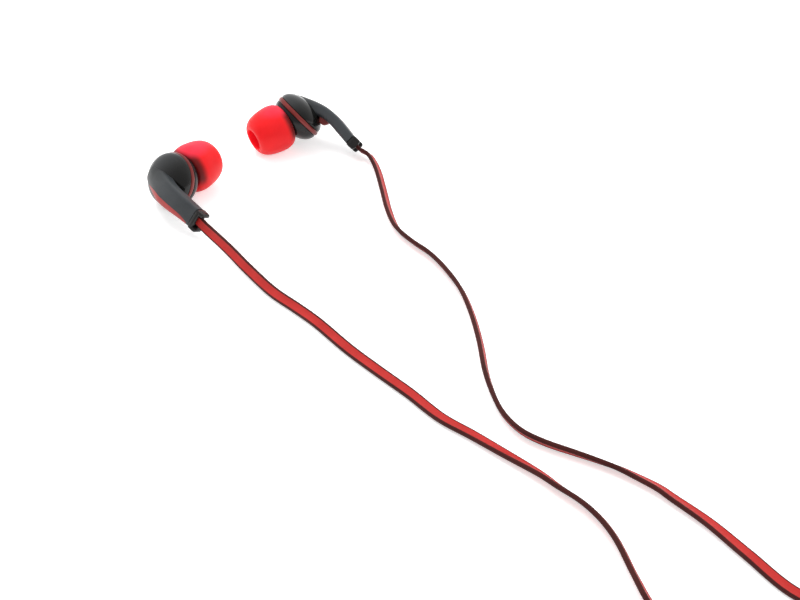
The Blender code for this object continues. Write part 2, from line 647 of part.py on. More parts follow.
def build_branch(side, leaving, route, roll_turns, split_end, split_run):
    """The flat cord from one earpiece to the split."""
    seat, mouth, run, roll = leaving
    roll += 180.0 * roll_turns
    last_roll = route[-1][3]
    stations = [(*(mouth + run * CORD_THICKNESS), roll)]
    for x, y, lift, turn in route:
        stations.append((*on_table(x, y), resting_height(turn) + lift, turn))
    stations.append((*(split_end - split_run * CORD_WIDTH), last_roll))
    placed = smooth_route(stations, CORD_STEP)
    placed = np.vstack([(*seat, roll), placed, (*split_end, last_roll)])
    flat_cord(f"{side}_cord", placed, "cord_red")
    print(f"{side}_cord length {route_length(placed):.1f} mm, points {len(placed)}")


def build_split():
    """The moulding that joins the two branches to the main cord. Returns its entry and exit places."""
    run = Vector((*SPLIT_DIRECTION, 0.0)).normalized()
    left_hand = Vector((0, 0, 1)).cross(run)
    front = Vector((*on_table(*SPLIT_AT), 0.5 * SPLIT_HEIGHT))
    taper = SPLIT_TAPER_START * SPLIT_LENGTH
    outline = (
        (0.0, -SPLIT_FRONT_HALF), (taper, -SPLIT_FRONT_HALF), (SPLIT_LENGTH, -SPLIT_REAR_HALF),
        (SPLIT_LENGTH, SPLIT_REAR_HALF), (taper, SPLIT_FRONT_HALF), (0.0, SPLIT_FRONT_HALF),
    )
    matrix = Matrix.Translation(front * MM) @ Matrix((run, left_hand, (0, 0, 1))).transposed().to_4x4()
    plate("y_split", outline, SPLIT_HEIGHT, "black_plastic", None, matrix, SPLIT_EDGE)
    entry = front - run * GAP
    ends = {"left": entry - left_hand * BRANCH_OFFSET, "right": entry + left_hand * BRANCH_OFFSET}
    return ends, front + run * (SPLIT_LENGTH + GAP), run


def coil_stations():
    """The wound part of the main cord: in on the lower layer, up over half a turn, out on the upper layer."""
    total = 2.0 * COIL_TURNS + COIL_CLIMB_TURNS
    outer = COIL_MEAN_RADIUS + 0.25 * COIL_PITCH * total
    inner = outer - 0.5 * COIL_PITCH * total
    low = 0.5 * CORD_WIDTH + COIL_LIFT
    centre = on_table(*COIL_CENTRE)
    stations = []
    for i in range(int(round(total * COIL_LOOP_POINTS)) + 1):
        turn = i / COIL_LOOP_POINTS
        climb = min(max((turn - COIL_TURNS) / COIL_CLIMB_TURNS, 0.0), 1.0)
        radius = outer - COIL_PITCH * min(turn, total - turn)
        angle = 2.0 * math.pi * turn
        height = low + COIL_LAYER_RISE * (3.0 * climb**2 - 2.0 * climb**3)
        x = centre[0] + radius * math.cos(angle)
        y = centre[1] + radius * math.sin(angle)
        stations.append((x, y, height, 90.0))
    return stations, inner, outer


def least_gap(stations):
    """Least clear distance between turns of the cord, from points that are a quarter loop or more apart."""
    middle = np.array(stations)[:, :3]
    half = 0.5 * (CORD_WIDTH - CORD_THICKNESS)
    skip = COIL_LOOP_POINTS // 4
    least = np.inf
    for i in range(len(middle) - skip):
        away = middle[i + skip:] - middle[i]
        across = np.hypot(away[:, 0], away[:, 1])
        rise = np.maximum(np.abs(away[:, 2]) - 2.0 * half, 0.0)
        least = min(least, np.hypot(across, rise).min() - CORD_THICKNESS)
    return least


def build_main_cord(start, run):
    """The cord from the split through the coil to the plug. Returns where it ends."""
    lead_in = [(*(start + run * CORD_WIDTH), 0.0)]
    wound, inner, outer = coil_stations()
    rest = wound[0][2] - 0.5 * CORD_WIDTH
    for x, y, roll in MAIN_LEAD_IN:
        share = roll / 90.0
        lead_in.append((*on_table(x, y), resting_height(roll) + rest * share, roll))
    approach = smooth_route(lead_in + [wound[0]], CORD_STEP)
    x, y, z, roll = wound[-1]
    plug_end = Vector((x, y + PLUG_LEAD, PLUG_AXIS_HEIGHT))
    drop = 0.5 * (z + PLUG_AXIS_HEIGHT)
    leave = [
        wound[-1],
        (x, y + PLUG_LEAD_LEVEL * PLUG_LEAD, z, roll),
        (x, y + PLUG_LEAD_DROP * PLUG_LEAD, drop, roll),
        (x, y + PLUG_LEAD - CORD_WIDTH, PLUG_AXIS_HEIGHT, roll),
    ]
    departure = smooth_route(leave, CORD_STEP)
    stations = np.vstack([(*start, 0.0), approach[:-1], wound, departure[1:], (*plug_end, roll)])
    flat_cord("main_cord", stations, "cord_red")
    print(f"main_cord length {route_length(stations):.1f} mm, points {len(stations)}")
    print(f"coil's least gap to itself {least_gap(wound):.2f} mm")
    build_tie(inner, outer)
    return plug_end


def build_tie(inner, outer):
    """A soft tie round the coil's bundle, on the side away from the plug."""
    reach = 0.5 * CORD_THICKNESS + 0.5 * COIL_PITCH + GAP
    bundle_height = CORD_WIDTH + COIL_LAYER_RISE + 2.0 * GAP
    bundle_width = outer - inner + 2.0 * reach
    x, y = on_table(*COIL_CENTRE)
    middle = (x - 0.5 * (inner + outer), y, COIL_LIFT - GAP + 0.5 * bundle_height)
    around = (bundle_width + 2 * TIE_THICKNESS, TIE_LENGTH, bundle_height + 2 * TIE_THICKNESS)
    tie = box("coil_tie", around, middle, "black_plastic")
    cut(tie, box("tie_opening", (bundle_width, TIE_LENGTH + 2 * CUT_OVERRUN, bundle_height), middle))


def build_plug(end):
    """Strain relief, grip and the contacts of a three-contact pin, all along +Y."""
    facing = Matrix.Translation(end * MM) @ Matrix.Rotation(math.radians(-90.0), 4, "X")
    axis = add_frame("plug_axis", matrix=facing)
    rear = GAP
    front = rear + RELIEF_LENGTH
    relief = [(0.0, front), (RELIEF_FRONT_RADIUS, front)]
    pitch = RELIEF_LENGTH / (RELIEF_GROOVES + 1)
    for i in range(RELIEF_GROOVES):
        share = (i + RELIEF_GROOVE_START) / (RELIEF_GROOVES + 1)
        radius = RELIEF_FRONT_RADIUS + (RELIEF_REAR_RADIUS - RELIEF_FRONT_RADIUS) * share
        bottom = radius - RELIEF_GROOVE_DEPTH
        high = front - pitch * (i + RELIEF_GROOVE_START)
        low = high - 0.5 * pitch
        relief += [(radius, high), (bottom, high), (bottom, low), (radius, low)]
    relief += [(RELIEF_REAR_RADIUS, rear), (0.0, rear)]
    turned("plug_relief", relief, "black_plastic", axis, steps=INNER_SEGMENTS)

    rear = front + GAP
    front = rear + GRIP_LENGTH
    middle = 0.5 * (rear + front)
    grip = [
        (0.0, front), (GRIP_RADIUS - GRIP_FILLET, front), (GRIP_RADIUS, front - GRIP_FILLET),
        (GRIP_RADIUS - GRIP_WAIST, middle), (GRIP_RADIUS, rear + GRIP_FILLET),
        (GRIP_RADIUS - GRIP_FILLET, rear), (0.0, rear),
    ]
    turned("plug_grip", grip, "black_plastic", axis)

    contacts = (
        ("plug_sleeve", SLEEVE_LENGTH, "plated"), ("plug_insulator_1", INSULATOR_LENGTH, "black_plastic"),
        ("plug_ring", CONTACT_RING_LENGTH, "plated"), ("plug_insulator_2", INSULATOR_LENGTH, "black_plastic"),
    )
    for name, length, finish in contacts:
        rear = front + GAP
        front = rear + length
        turned(name, disc(PIN_RADIUS, rear, front), finish, axis, steps=INNER_SEGMENTS)
    rear = front + GAP
    nose = rear + PIN_TIP_LENGTH
    tip = [
        (0.0, nose), (PIN_NOSE_RADIUS, nose),
        (PIN_RADIUS, nose - PIN_NOSE_TAPER), (PIN_NECK_RADIUS, nose - PIN_NECK_AT),
        (PIN_SHOULDER_RADIUS, rear + PIN_SHOULDER_LENGTH), (PIN_SHOULDER_RADIUS, rear), (0.0, rear),
    ]
    turned("plug_tip", tip, "plated", axis, steps=INNER_SEGMENTS)


leaving = {side: build_earpiece(side, pose) for side, pose in EARPIECES.items()}
split_ends, main_start, split_run = build_split()
build_branch("left", leaving["left"], LEFT_ROUTE, 1, split_ends["left"], split_run)
build_branch("right", leaving["right"], RIGHT_ROUTE, 0, split_ends["right"], split_run)
build_plug(build_main_cord(main_start, split_run))
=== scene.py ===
"""Wired in-ear earphones lying on a white table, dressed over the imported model.

Lengths in the tables below are in millimetres. The table is z = 0 and +Z is up.
Earpiece frame: +Z runs along the housing towards the ear, -Y runs down the stem, X is sideways.
"""
import math

import bmesh
import bpy
import numpy as np
from mathutils import Matrix, Vector


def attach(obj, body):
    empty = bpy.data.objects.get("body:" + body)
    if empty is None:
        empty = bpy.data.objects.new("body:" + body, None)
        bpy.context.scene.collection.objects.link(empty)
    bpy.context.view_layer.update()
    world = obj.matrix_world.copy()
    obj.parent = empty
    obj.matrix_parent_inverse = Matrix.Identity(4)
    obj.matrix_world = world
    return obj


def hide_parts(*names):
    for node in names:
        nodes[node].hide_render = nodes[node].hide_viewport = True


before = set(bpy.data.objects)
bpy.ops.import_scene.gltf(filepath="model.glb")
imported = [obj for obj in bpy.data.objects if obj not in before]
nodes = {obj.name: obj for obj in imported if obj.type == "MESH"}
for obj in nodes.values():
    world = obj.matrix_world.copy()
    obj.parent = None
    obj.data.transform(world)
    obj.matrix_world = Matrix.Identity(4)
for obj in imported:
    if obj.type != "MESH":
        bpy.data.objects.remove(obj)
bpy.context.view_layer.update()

MM = 0.001
SIDES = ("left", "right")
BODY = "body"

# Camera, table and light
CAMERA_AT = (0.0, -230.73, 171.99)
CAMERA_AIM = (0.0, 0.0, 0.0)
IMAGE_WIDTH = 800
FOCAL_PIXELS = 1297.0
SENSOR = 36.0
NEAR_CLIP = 10.0
WHITE = (1.0, 1.0, 1.0, 1.0)
FLOOR_COLOUR = (0.86, 0.86, 0.86, 1.0)
FLOOR_ROUGHNESS = 0.5
FLOOR_SPECULAR = 0.2
FLOOR_DROP = 0.02
FLOOR_REACH = 4000.0
# Light of its own that the camera and reflections see on the table
TABLE_GLOW = 0.5
# Strength of the white surround behind the object and behind the camera, and where it turns along Y
SURROUND = 1.0
SURROUND_NEAR = 0.55
SURROUND_TURN = (-1.0, 0.2)
# Lamps: name, place, diameter and power in watts
LAMPS = (("key", (-120.0, 160.0, 420.0), 260.0, 1.1), ("fill", (320.0, -220.0, 300.0), 200.0, 0.45))
LAMP_AIM = (0.0, 0.0, 0.0)

# Fineness
ROUND = 96
PLUG_ROUND = 48
SHELL_POINTS = 28
RING_POINTS = 11
STEM_STATIONS = 120
STEM_ANGLE_STEP = 4.0
RAIL_POINTS = 15
LINE_STEP = 0.2
ROUTE_FINENESS = 24
CORD_FINE_STEP = 1.5
COIL_FINE_POINTS = 60

# Where the earpieces lie, shared with the part
LAYOUT_SHIFT = (35.77, -50.15)
EARPIECES = {
    "left": {"at": (-55.47, 40.24, 6.53), "ear": (0.524, 0.711, -0.468), "stem": (0.668, -0.685, -0.293)},
    "right": {"at": (-26.6, 70.3, 7.645), "ear": (-0.704, -0.361, -0.612), "stem": (0.691, -0.546, -0.473)},
}
NOZZLE_LEAN = 27.7
NOZZLE_LEAN_TURN = 19.6
SIDEWAYS = {"left": -1.0, "right": 1.0}
GAP = 0.3

# Housing
HOUSING_RADIUS = 6.6
RING_RADIUS = 6.75
RING_INNER_RADIUS = 5.9
RING_HALF_WIDTH = 0.55
RING_INNER_HALF_WIDTH = 0.5
RING_ROUND = 0.22
SEAM_GAP = 0.06
SHELL_START = RING_HALF_WIDTH + SEAM_GAP
SHELL_FLAT = 0.4
SEAM_ROUND = 0.14
DOME_DEPTH = 3.8
BOWL_DEPTH = 4.3
NOZZLE_RADIUS = 2.35
NOZZLE_BASE = 4.3
NOZZLE_END = 11.6
LIP_RADIUS = 2.6
LIP_LENGTH = 0.7
LIP_ROUND = 0.2
SOUND_BORE_RADIUS = 1.75
SOUND_BORE_ROUND = 0.1

# Ear tip
TIP_RIM = 4.3
TIP_NOSE = 13.93
TIP_RADIUS = 6.14
TIP_WALL = 0.55
TIP_TUBE_REAR = 6.0
TIP_TUBE_RADIUS = 3.55
TIP_BORE_RADIUS = 2.75
TIP_MOUTH_RADIUS = 2.6
TIP_NOSE_ROUND = 0.35
TIP_TUBE_ROUND = 0.12
TIP_TUBE_END = 0.1
TIP_SEAT_GAP = 0.2
# Tip profiles: radius and distance behind the nose, or radius and distance in front of the rim
TIP_SKIRT_FRONT = ((3.85, 0.26), (4.90, 1.28), (5.58, 2.85), (5.95, 4.65), (TIP_RADIUS, 6.4))
TIP_SKIRT_REAR = ((6.04, 1.9), (5.72, 0.85), (5.25, 0.2))
TIP_CURL = ((5.25, 0.2), (4.88, 0.0), (4.62, 0.08), (4.55, 0.32))
TIP_CURL_STEP = 0.1
TIP_LINING_REAR = ((4.55, 0.32), (5.15, 1.3), (5.48, 2.3))
TIP_LINING_FRONT = (
    (TIP_RADIUS - TIP_WALL, 6.0), (5.40, 4.6), (4.90, 3.4), (4.25, 2.6), (3.8, 2.75), (TIP_TUBE_RADIUS, 3.4),
)
# Mouth: widening of its radius and distance behind the nose
TIP_MOUTH = ((0.0, 0.6), (0.06, 0.25), (0.22, 0.06))
TIP_MOUTH_STEP = 0.08

# Stem lines: distance along the stem, then a value there
STEM_BACK = (
    (-4.6, 3.45), (-3.0, 4.40), (-1.6, 5.10), (0.0, 5.76), (1.6, 6.32), (3.4, 6.82),
    (5.2, 7.12), (7.0, 7.26), (9.0, 7.28), (11.6, 7.05), (14.85, 6.65),
)
STEM_FRONT = (
    (-4.6, 0.9), (0.0, 1.6), (2.0, 2.5), (3.8, 3.5), (5.4, 4.1), (7.8, 4.3), (11.0, 4.1), (14.85, 3.85),
)
# Reach of the stem's sides from its middle plane, towards the rail and away from it
STEM_RAIL_REACH = (
    (-4.6, 3.3), (-3.0, 3.7), (-1.0, 3.95), (1.5, 3.95), (4.0, 3.8), (6.5, 3.5), (9.0, 3.1), (12.0, 2.68),
    (14.85, 2.5),
)
STEM_NEAR_REACH = ((-4.6, 1.6), (-1.0, 2.1), (1.5, 2.3), (4.0, 2.4), (6.5, 2.45), (9.0, 2.5), (14.85, 2.525))
# How square the stem's section is: 2 is an ellipse
STEM_SQUARENESS = ((-4.6, 2.0), (0.0, 2.6), (2.5, 3.4), (5.0, 4.4), (14.85, 5.5))
# Fillet between dome and stem: soft on the rail's side, tight at the crease on the other
ROOT_FILLET = 0.9
CREASE_FILLET = 0.12
FILLET_TURN = (-1.6, 0.6)
# Rail let into the stem: angles round the section, as a middle and a reach to each side
RAIL_START = -1.6
RAIL_END = 14.2
RAIL_REACH = ((-1.6, 3.0), (0.5, 16.0), (2.5, 25.0), (5.0, 30.0), (9.5, 30.0), (12.5, 24.0), (14.2, 10.0))
RAIL_MIDDLE = 50.0
RAIL_PROUD = 0.03
RAIL_DEPTH = 0.4
WEB_OUTLINE = ((4.2, 3.9), (7.6, 4.9), (7.25, 3.9), (6.75, 3.05), (6.3, 2.75), (5.2, 2.75))
WEB_WIDTH = 1.6
# Rows of the web: share of its half width and of its outline
WEB_ROWS = ((-1.0, 0.85), (-0.75, 1.0), (0.75, 1.0), (1.0, 0.85))
COLLAR_START = 14.9
COLLAR_LENGTH = 2.5
COLLAR_HALF_WIDTH = 2.525
COLLAR_DEPTH = 3.1
COLLAR_BACK = 5.25
PRONG_LENGTH = 1.1
# Rows of the collar: distance from its start or its shoulder, inset, corner
COLLAR_REAR = ((0.0, 0.25, 0.6), (0.25, 0.0, 0.7))
COLLAR_SHOULDER = ((-0.3, 0.0, 0.7), (-0.1, 0.1, 0.7), (0.0, 0.3, 0.5))
# Rows of the slot: distance from the shoulder, widening, corner
COLLAR_SLOT = ((0.0, 0.15, 0.3), (-0.2, 0.0, 0.25))
COLLAR_SLOT_CORNER = 0.25
# Rows of a prong: inset across, inset in depth, corner. The first starts inside the collar.
PRONG_ROOT = 0.4
PRONG_ROOT_ROW = (0.02, 0.05, 0.30)
# Further rows of a prong, with the distance from its end first
PRONG_ROWS = ((-0.5, 0.0, 0.05, 0.35), (-0.15, 0.08, 0.25, 0.30), (0.0, 0.22, 0.6, 0.15))

# Flat cord
CORD_WIDTH = 2.6
CORD_THICKNESS = 1.0
CORD_EDGE_BAND = 0.40
CORD_ROUND = 0.4
CORD_ROUND_POINTS = 11
CORD_GROOVE = 0.05
# Reach of the groove's slope past the band's edge and into the red face
CORD_SLOPE = (0.02, 0.06)
TABLE_CLEARANCE = 0.15
# Routes: place on the layout, lift off the table and roll in degrees
LEFT_ROUTE = (
    (-39.7, 16.6, 1.1, 50), (-34.7, 9.9, 0.4, 42), (-28.5, 1.8, 0, 34), (-22.7, -4.2, 0, 27),
    (-17.7, -9.6, 0, 20), (-10.9, -18.3, 0, 14), (-4.3, -25.7, 0, 9), (2.0, -32.5, 0, 4),
    (7.9, -39.6, 0, -4), (14.1, -44.9, 0, -10),
    (20.2, -50.4, 0, -20), (26.1, -55.8, 0, -36), (29.4, -59.5, 0, -47), (33.0, -63.1, 0, -51),
    (35.8, -67.1, 0, -54), (37.7, -71.2, 0, -58), (38.9, -75.2, 0, -61), (40.2, -80.7, 0, -60),
    (42.7, -88.5, 0, -50), (48.5, -97.0, 0, -35), (58.0, -103.0, 0, -15), (70.0, -105.0, 0, 0),
    (82.0, -102.0, 0, 0), (91.0, -93.0, 0, 0), (96.5, -80.0, 0, 0), (99.5, -65.0, 0, 0), (100.6, -50.0, 0, 0),
    (100.8, -40.0, 0.4, 0),
)
RIGHT_ROUTE = (
    (-7.8, 59.7, 0.7, 132), (-5.8, 53.5, 0.4, 129), (-4.2, 44.2, 0.1, 127), (-2.7, 34.4, 0, 126),
    (-0.7, 26.9, 0, 124), (3.0, 21.2, 0, 129), (6.9, 16.4, 0, 128), (10.2, 10.4, 0, 120), (13.5, 2.3, 0, 117),
    (15.6, -6.9, 0, 116), (16.9, -17.0, 0, 114), (17.6, -27.0, 0, 111), (19.0, -34.9, 0, 111),
    (20.8, -40.2, 0, 116), (23.8, -44.6, 0, 121), (28.0, -47.7, 0, 122), (32.9, -50.2, 0, 125),
    (37.3, -52.4, 0, 131), (41.1, -54.5, 0, 137), (44.5, -56.9, 0, 146), (47.8, -59.5, 0, 152),
    (50.1, -62.1, 0, 156), (55.5, -68.1, 0, 165), (60.8, -75.5, 0, 174), (67.0, -84.0, 0, 180),
    (75.0, -88.5, 0, 180), (83.5, -86.0, 0, 180), (89.0, -78.5, 0, 180), (92.5, -66.0, 0, 180),
    (95.2, -52.0, 0, 180), (96.6, -40.0, 0.4, 180),
)
# Each branch's route and the half turns that its roll starts with
ROUTES = {"left": (LEFT_ROUTE, 1), "right": (RIGHT_ROUTE, 0)}

# Cord split
SPLIT_AT = (99.0, -27.0)
SPLIT_DIRECTION = (0.05, 1.0)
SPLIT_LENGTH = 13.0
SPLIT_HEIGHT = 3.6
BRANCH_OFFSET = 1.7
# Rows of the split: distance along it, half width, half height, corner
SPLIT_ROWS = (
    (-0.3, 3.5, 1.1, 0.7), (-0.05, 3.95, 1.5, 0.9), (0.6, 4.2, 1.8, 1.0), (4.4, 4.2, 1.8, 1.0),
    (8.5, 3.45, 1.8, 1.0), (12.4, 2.65, 1.7, 1.0), (13.05, 2.3, 1.4, 0.9), (13.3, 1.9, 1.0, 0.7),
)
SPLIT_CORNER_STEPS = 6

# Coil, tie and plug
COIL_CENTRE = (129.0, 40.0)
COIL_MEAN_RADIUS = 18.0
COIL_PITCH = 1.6
COIL_TURNS = 3.25
COIL_CLIMB_TURNS = 0.5
COIL_LIFT = 1.05
COIL_LAYER_RISE = 3.1
# Lead to the coil: place on the layout and roll in degrees
MAIN_LEAD_IN = ((103.0, -3.5, 8), (112.0, 3.0, 30), (126.0, 6.0, 60), (139.0, 11.0, 85), (147.5, 22.5, 90))
PLUG_LEAD = 24.0
PLUG_LEAD_LEVEL = 0.35
PLUG_LEAD_DROP = 0.6
PLUG_AXIS_HEIGHT = 4.2
TIE_LENGTH = 4.0
TIE_THICKNESS = 0.6
TIE_CORNER = 1.2
TIE_CORNER_STEPS = 8
# Edge of the tie: share of its thickness and of its half length
TIE_EDGE = ((0.0, 0.7), (0.3, 1.0), (0.7, 1.0), (1.0, 0.7))
# Plug profiles: radius and distance from the cord's end
RELIEF_REAR = ((0.0, 0.05), (1.6, 0.05), (1.9, 0.35))
RELIEF_RIBS = 6
RELIEF_RIB_START = 0.6
RELIEF_RIB_PITCH = 1.4
RELIEF_RIB_DEPTH = 0.35
RELIEF_RIB_CREST = (0.12, 0.78)
RELIEF_RIB_LENGTH = 0.9
RELIEF_REAR_RADIUS = 2.0
RELIEF_FRONT_RADIUS = 2.85
RELIEF_FRONT = (9.1, 9.3)
GRIP_REAR = ((0.0, 9.5), (3.0, 9.5))
GRIP_SIDE = (
    (3.0, 9.5), (3.75, 9.75), (4.05, 10.6), (4.02, 13.0), (3.85, 17.5), (3.98, 22.5), (4.08, 24.6),
    (3.8, 25.4), (3.1, 25.6),
)
GRIP_FRONT = ((2.2, 25.62), (2.2, 25.75), (0.0, 25.75))
# Bands of the pin: piece, node, rear, front, radius, finish, slot
CONTACTS = (
    ("sleeve", "plug_sleeve", 25.9, 33.62, 1.75, "plated", "plated"),
    ("first_insulator", "plug_insulator_1", 33.62, 34.78, 1.73, "black", "black_plastic"),
    ("ring_contact", "plug_ring", 34.78, 37.42, 1.75, "plated", "plated"),
    ("second_insulator", "plug_insulator_2", 37.42, 38.58, 1.73, "black", "black_plastic"),
)
CONTACT_ROUND = 0.05
PIN_TIP_REAR = ((0.0, 38.58), (1.64, 38.58), (1.65, 38.95))
PIN_TIP_SIDE = (
    (1.65, 38.95), (1.2, 39.5), (1.35, 40.1), (1.7, 40.55), (1.5, 41.1), (1.0, 41.65), (0.55, 41.87),
)
PIN_TIP_STEP = 0.08
PIN_TIP_END = 41.89

# Finishes, and the light and shade painted into some of them
UP = (0.0, 0.0, 1.0)
DOWN = (0.0, 0.0, -1.0)
# Places of the darkest and lightest tone in the slow variation, and that variation's scale per metre
TONE_STOPS = (0.3, 0.7)
PATCH_SCALE = 180.0
# Painted light and shade on the tip: painted shade darkens the skirt where it curls in behind, a painted
# highlight makes its top paler and pinker, and near the table painted light brings back the plain red
CURL_PAINTED_SHADE = (6.7, 5.0)
TOP_PAINTED_HIGHLIGHT = (UP, 10.8 * MM, 12.3 * MM)
FOOT_PAINTED_LIGHT = (DOWN, -6.5 * MM, -3.5 * MM)
# Painted shade in the tip's hollow, darker deeper in from the rim
HOLLOW_PAINTED_SHADE = (TIP_RIM, TIP_RIM + 2.2)
# Painted shade on each dome, darker towards its arm
DOME_PAINTED_SHADE = (-4.5, 3.0)
# Painted light and shade on each arm, darker at its root by the dome and lighter further down
ARM_PAINTED_LIGHT_AND_SHADE = (-3.0, 5.0)
# Inner solids that stay as they are, with their finishes
KEPT = {
    "nozzle_mesh": "steel", "driver_basket": "black", "driver_yoke": "steel", "driver_magnet": "magnet",
    "driver_top_plate": "steel", "voice_coil": "copper", "diaphragm": "film", "terminal_board": "board",
    "lead": "copper",
}


# Shapes

def smooth_route(points, step):
    """Evenly spaced places on a smooth curve through the points, with any further columns carried along."""
    points = np.array(points, float)
    padded = np.vstack([2 * points[0] - points[1], points, 2 * points[-1] - points[-2]])
    fine = []
    for a, b, c, d in zip(padded, padded[1:], padded[2:], padded[3:]):
        for t in np.linspace(0.0, 1.0, ROUTE_FINENESS, endpoint=False):
            square = (2 * a - 5 * b + 4 * c - d) * t**2
            cube = (3 * b - a - 3 * c + d) * t**3
            fine.append(0.5 * (2 * b + (c - a) * t + square + cube))
    fine = np.array(fine + [points[-1]])
    along = np.r_[0.0, np.cumsum(np.linalg.norm(np.diff(fine[:, :3], axis=0), axis=1))]
    count = max(2, int(round(along[-1] / step)) + 1)
    wanted = np.linspace(0.0, along[-1], count)
    return np.stack([np.interp(wanted, along, column) for column in fine.T], axis=1)


def rounded(points, step=0.25):
    """A profile of (radius, height) pairs drawn through the points as one smooth line."""
    return [tuple(point) for point in smooth_route([(r, z, 0.0) for r, z in points], step)[:, :2]]


def arc(radius, depth, start, first, last, count):
    """Points on an ellipse between two angles, where 0 is its rim and 90 its pole."""
    angles = np.radians(np.linspace(first, last, count))
    return [(radius * math.cos(angle), start + depth * math.sin(angle)) for angle in angles]


def lathe(profile, closed=False, segments=ROUND):
    """Turn (radius, height) pairs about Z. Returns points and faces."""
    points = []
    rings = []
    for radius, height in profile:
        if radius < 1e-4:
            rings.append([len(points)])
            points.append((0.0, 0.0, height))
            continue
        ring = []
        for i in range(segments):
            angle = 2.0 * math.pi * i / segments
            ring.append(len(points))
            points.append((radius * math.cos(angle), radius * math.sin(angle), height))
        rings.append(ring)
    faces = []
    pairs = list(zip(rings, rings[1:]))
    if closed:
        pairs.append((rings[-1], rings[0]))
    for upper, lower in pairs:
        for i in range(segments):
            j = (i + 1) % segments
            corners = [upper[i % len(upper)], lower[i % len(lower)]]
            corners += [lower[j % len(lower)], upper[j % len(upper)]]
            corners = list(dict.fromkeys(corners))
            if len(corners) > 2:
                faces.append(corners)
    return points, faces


def rounded_box(half_u, half_v, radius, steps=5):
    """A rectangle with round corners, as points round it."""
    radius = min(radius, half_u, half_v)
    outline = []
    corners = ((1, 1, 0), (-1, 1, 90), (-1, -1, 180), (1, -1, 270))
    for sign_u, sign_v, start in corners:
        for i in range(steps + 1):
            angle = math.radians(start + 90.0 * i / steps)
            u = sign_u * (half_u - radius) + radius * math.cos(angle)
            v = sign_v * (half_v - radius) + radius * math.sin(angle)
            outline.append((u, v))
    return outline


def loft(sections, ring=False):
    """Join sections of equally many points and close the ends. A ring of sections closes on itself."""
    count = len(sections[0])
    points = [tuple(point) for section in sections for point in section]
    faces = []
    total = len(sections) if ring else len(sections) - 1
    for k in range(total):
        a = k * count
        b = ((k + 1) % len(sections)) * count
        for i in range(count):
            j = (i + 1) % count
            faces.append([a + i, a + j, b + j, b + i])
    if not ring:
        faces.append(list(range(count))[::-1])
        faces.append([(len(sections) - 1) * count + i for i in range(count)])
    return points, faces


def merged(*shapes):
    """Several shapes as one."""
    points = []
    faces = []
    for shape_points, shape_faces in shapes:
        start = len(points)
        points += list(shape_points)
        faces += [[start + i for i in face] for face in shape_faces]
    return points, faces


def moved(shape, matrix):
    """A shape turned and shifted by a matrix in millimetres."""
    points, faces = shape
    return [tuple(matrix @ Vector(point)) for point in points], faces


def add_piece(name, shape, materials, body, matrix, replaced, bands=None, sharp=40.0):
    """Make a piece of the object, put it in place and let it ride on its body.

    bands gives each face's place in the list of materials, and sharp the angle past which an edge shows.
    """
    points, faces = moved(shape, matrix) if matrix else shape
    mesh = bpy.data.meshes.new(name)
    mesh.from_pydata([(x * MM, y * MM, z * MM) for x, y, z in points], [], faces)
    for material in materials:
        mesh.materials.append(material)
    if bands is not None:
        mesh.polygons.foreach_set("material_index", bands)
    work = bmesh.new()
    work.from_mesh(mesh)
    bmesh.ops.recalc_face_normals(work, faces=work.faces)
    work.to_mesh(mesh)
    work.free()
    mesh.polygons.foreach_set("use_smooth", [True] * len(mesh.polygons))
    mesh.set_sharp_from_angle(angle=math.radians(sharp))
    piece = bpy.data.objects.new(name, mesh)
    bpy.context.scene.collection.objects.link(piece)
    bpy.context.view_layer.update()
    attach(piece, body)
    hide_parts(*replaced)
    return piece


# Materials

def link(tree, source, target):
    """Join two sockets."""
    tree.links.new(source, target)


def node(tree, kind, **settings):
    """Add a shader node and set its sockets and properties by name."""
    made = tree.nodes.new(kind)
    for key, value in settings.items():
        name = key.replace("_", " ")
        if name in made.inputs:
            made.inputs[name].default_value = value
        else:
            setattr(made, key, value)
    return made


def toned(tree, source, tones):
    """Colour between a darkest and a lightest tone, by a value."""
    made = tree.nodes.new("ShaderNodeValToRGB")
    for element, place, colour in zip(made.color_ramp.elements, TONE_STOPS, tones):
        element.position = place
        element.color = (*colour, 1.0)
    link(tree, source, made.inputs["Fac"])
    return made.outputs["Color"]


def span(tree, source, low, high):
    """Map a value of 0 to 1 onto a range."""
    made = tree.nodes.new("ShaderNodeMapRange")
    made.inputs["To Min"].default_value = low
    made.inputs["To Max"].default_value = high
    link(tree, source, made.inputs["Value"])
    return made.outputs["Result"]


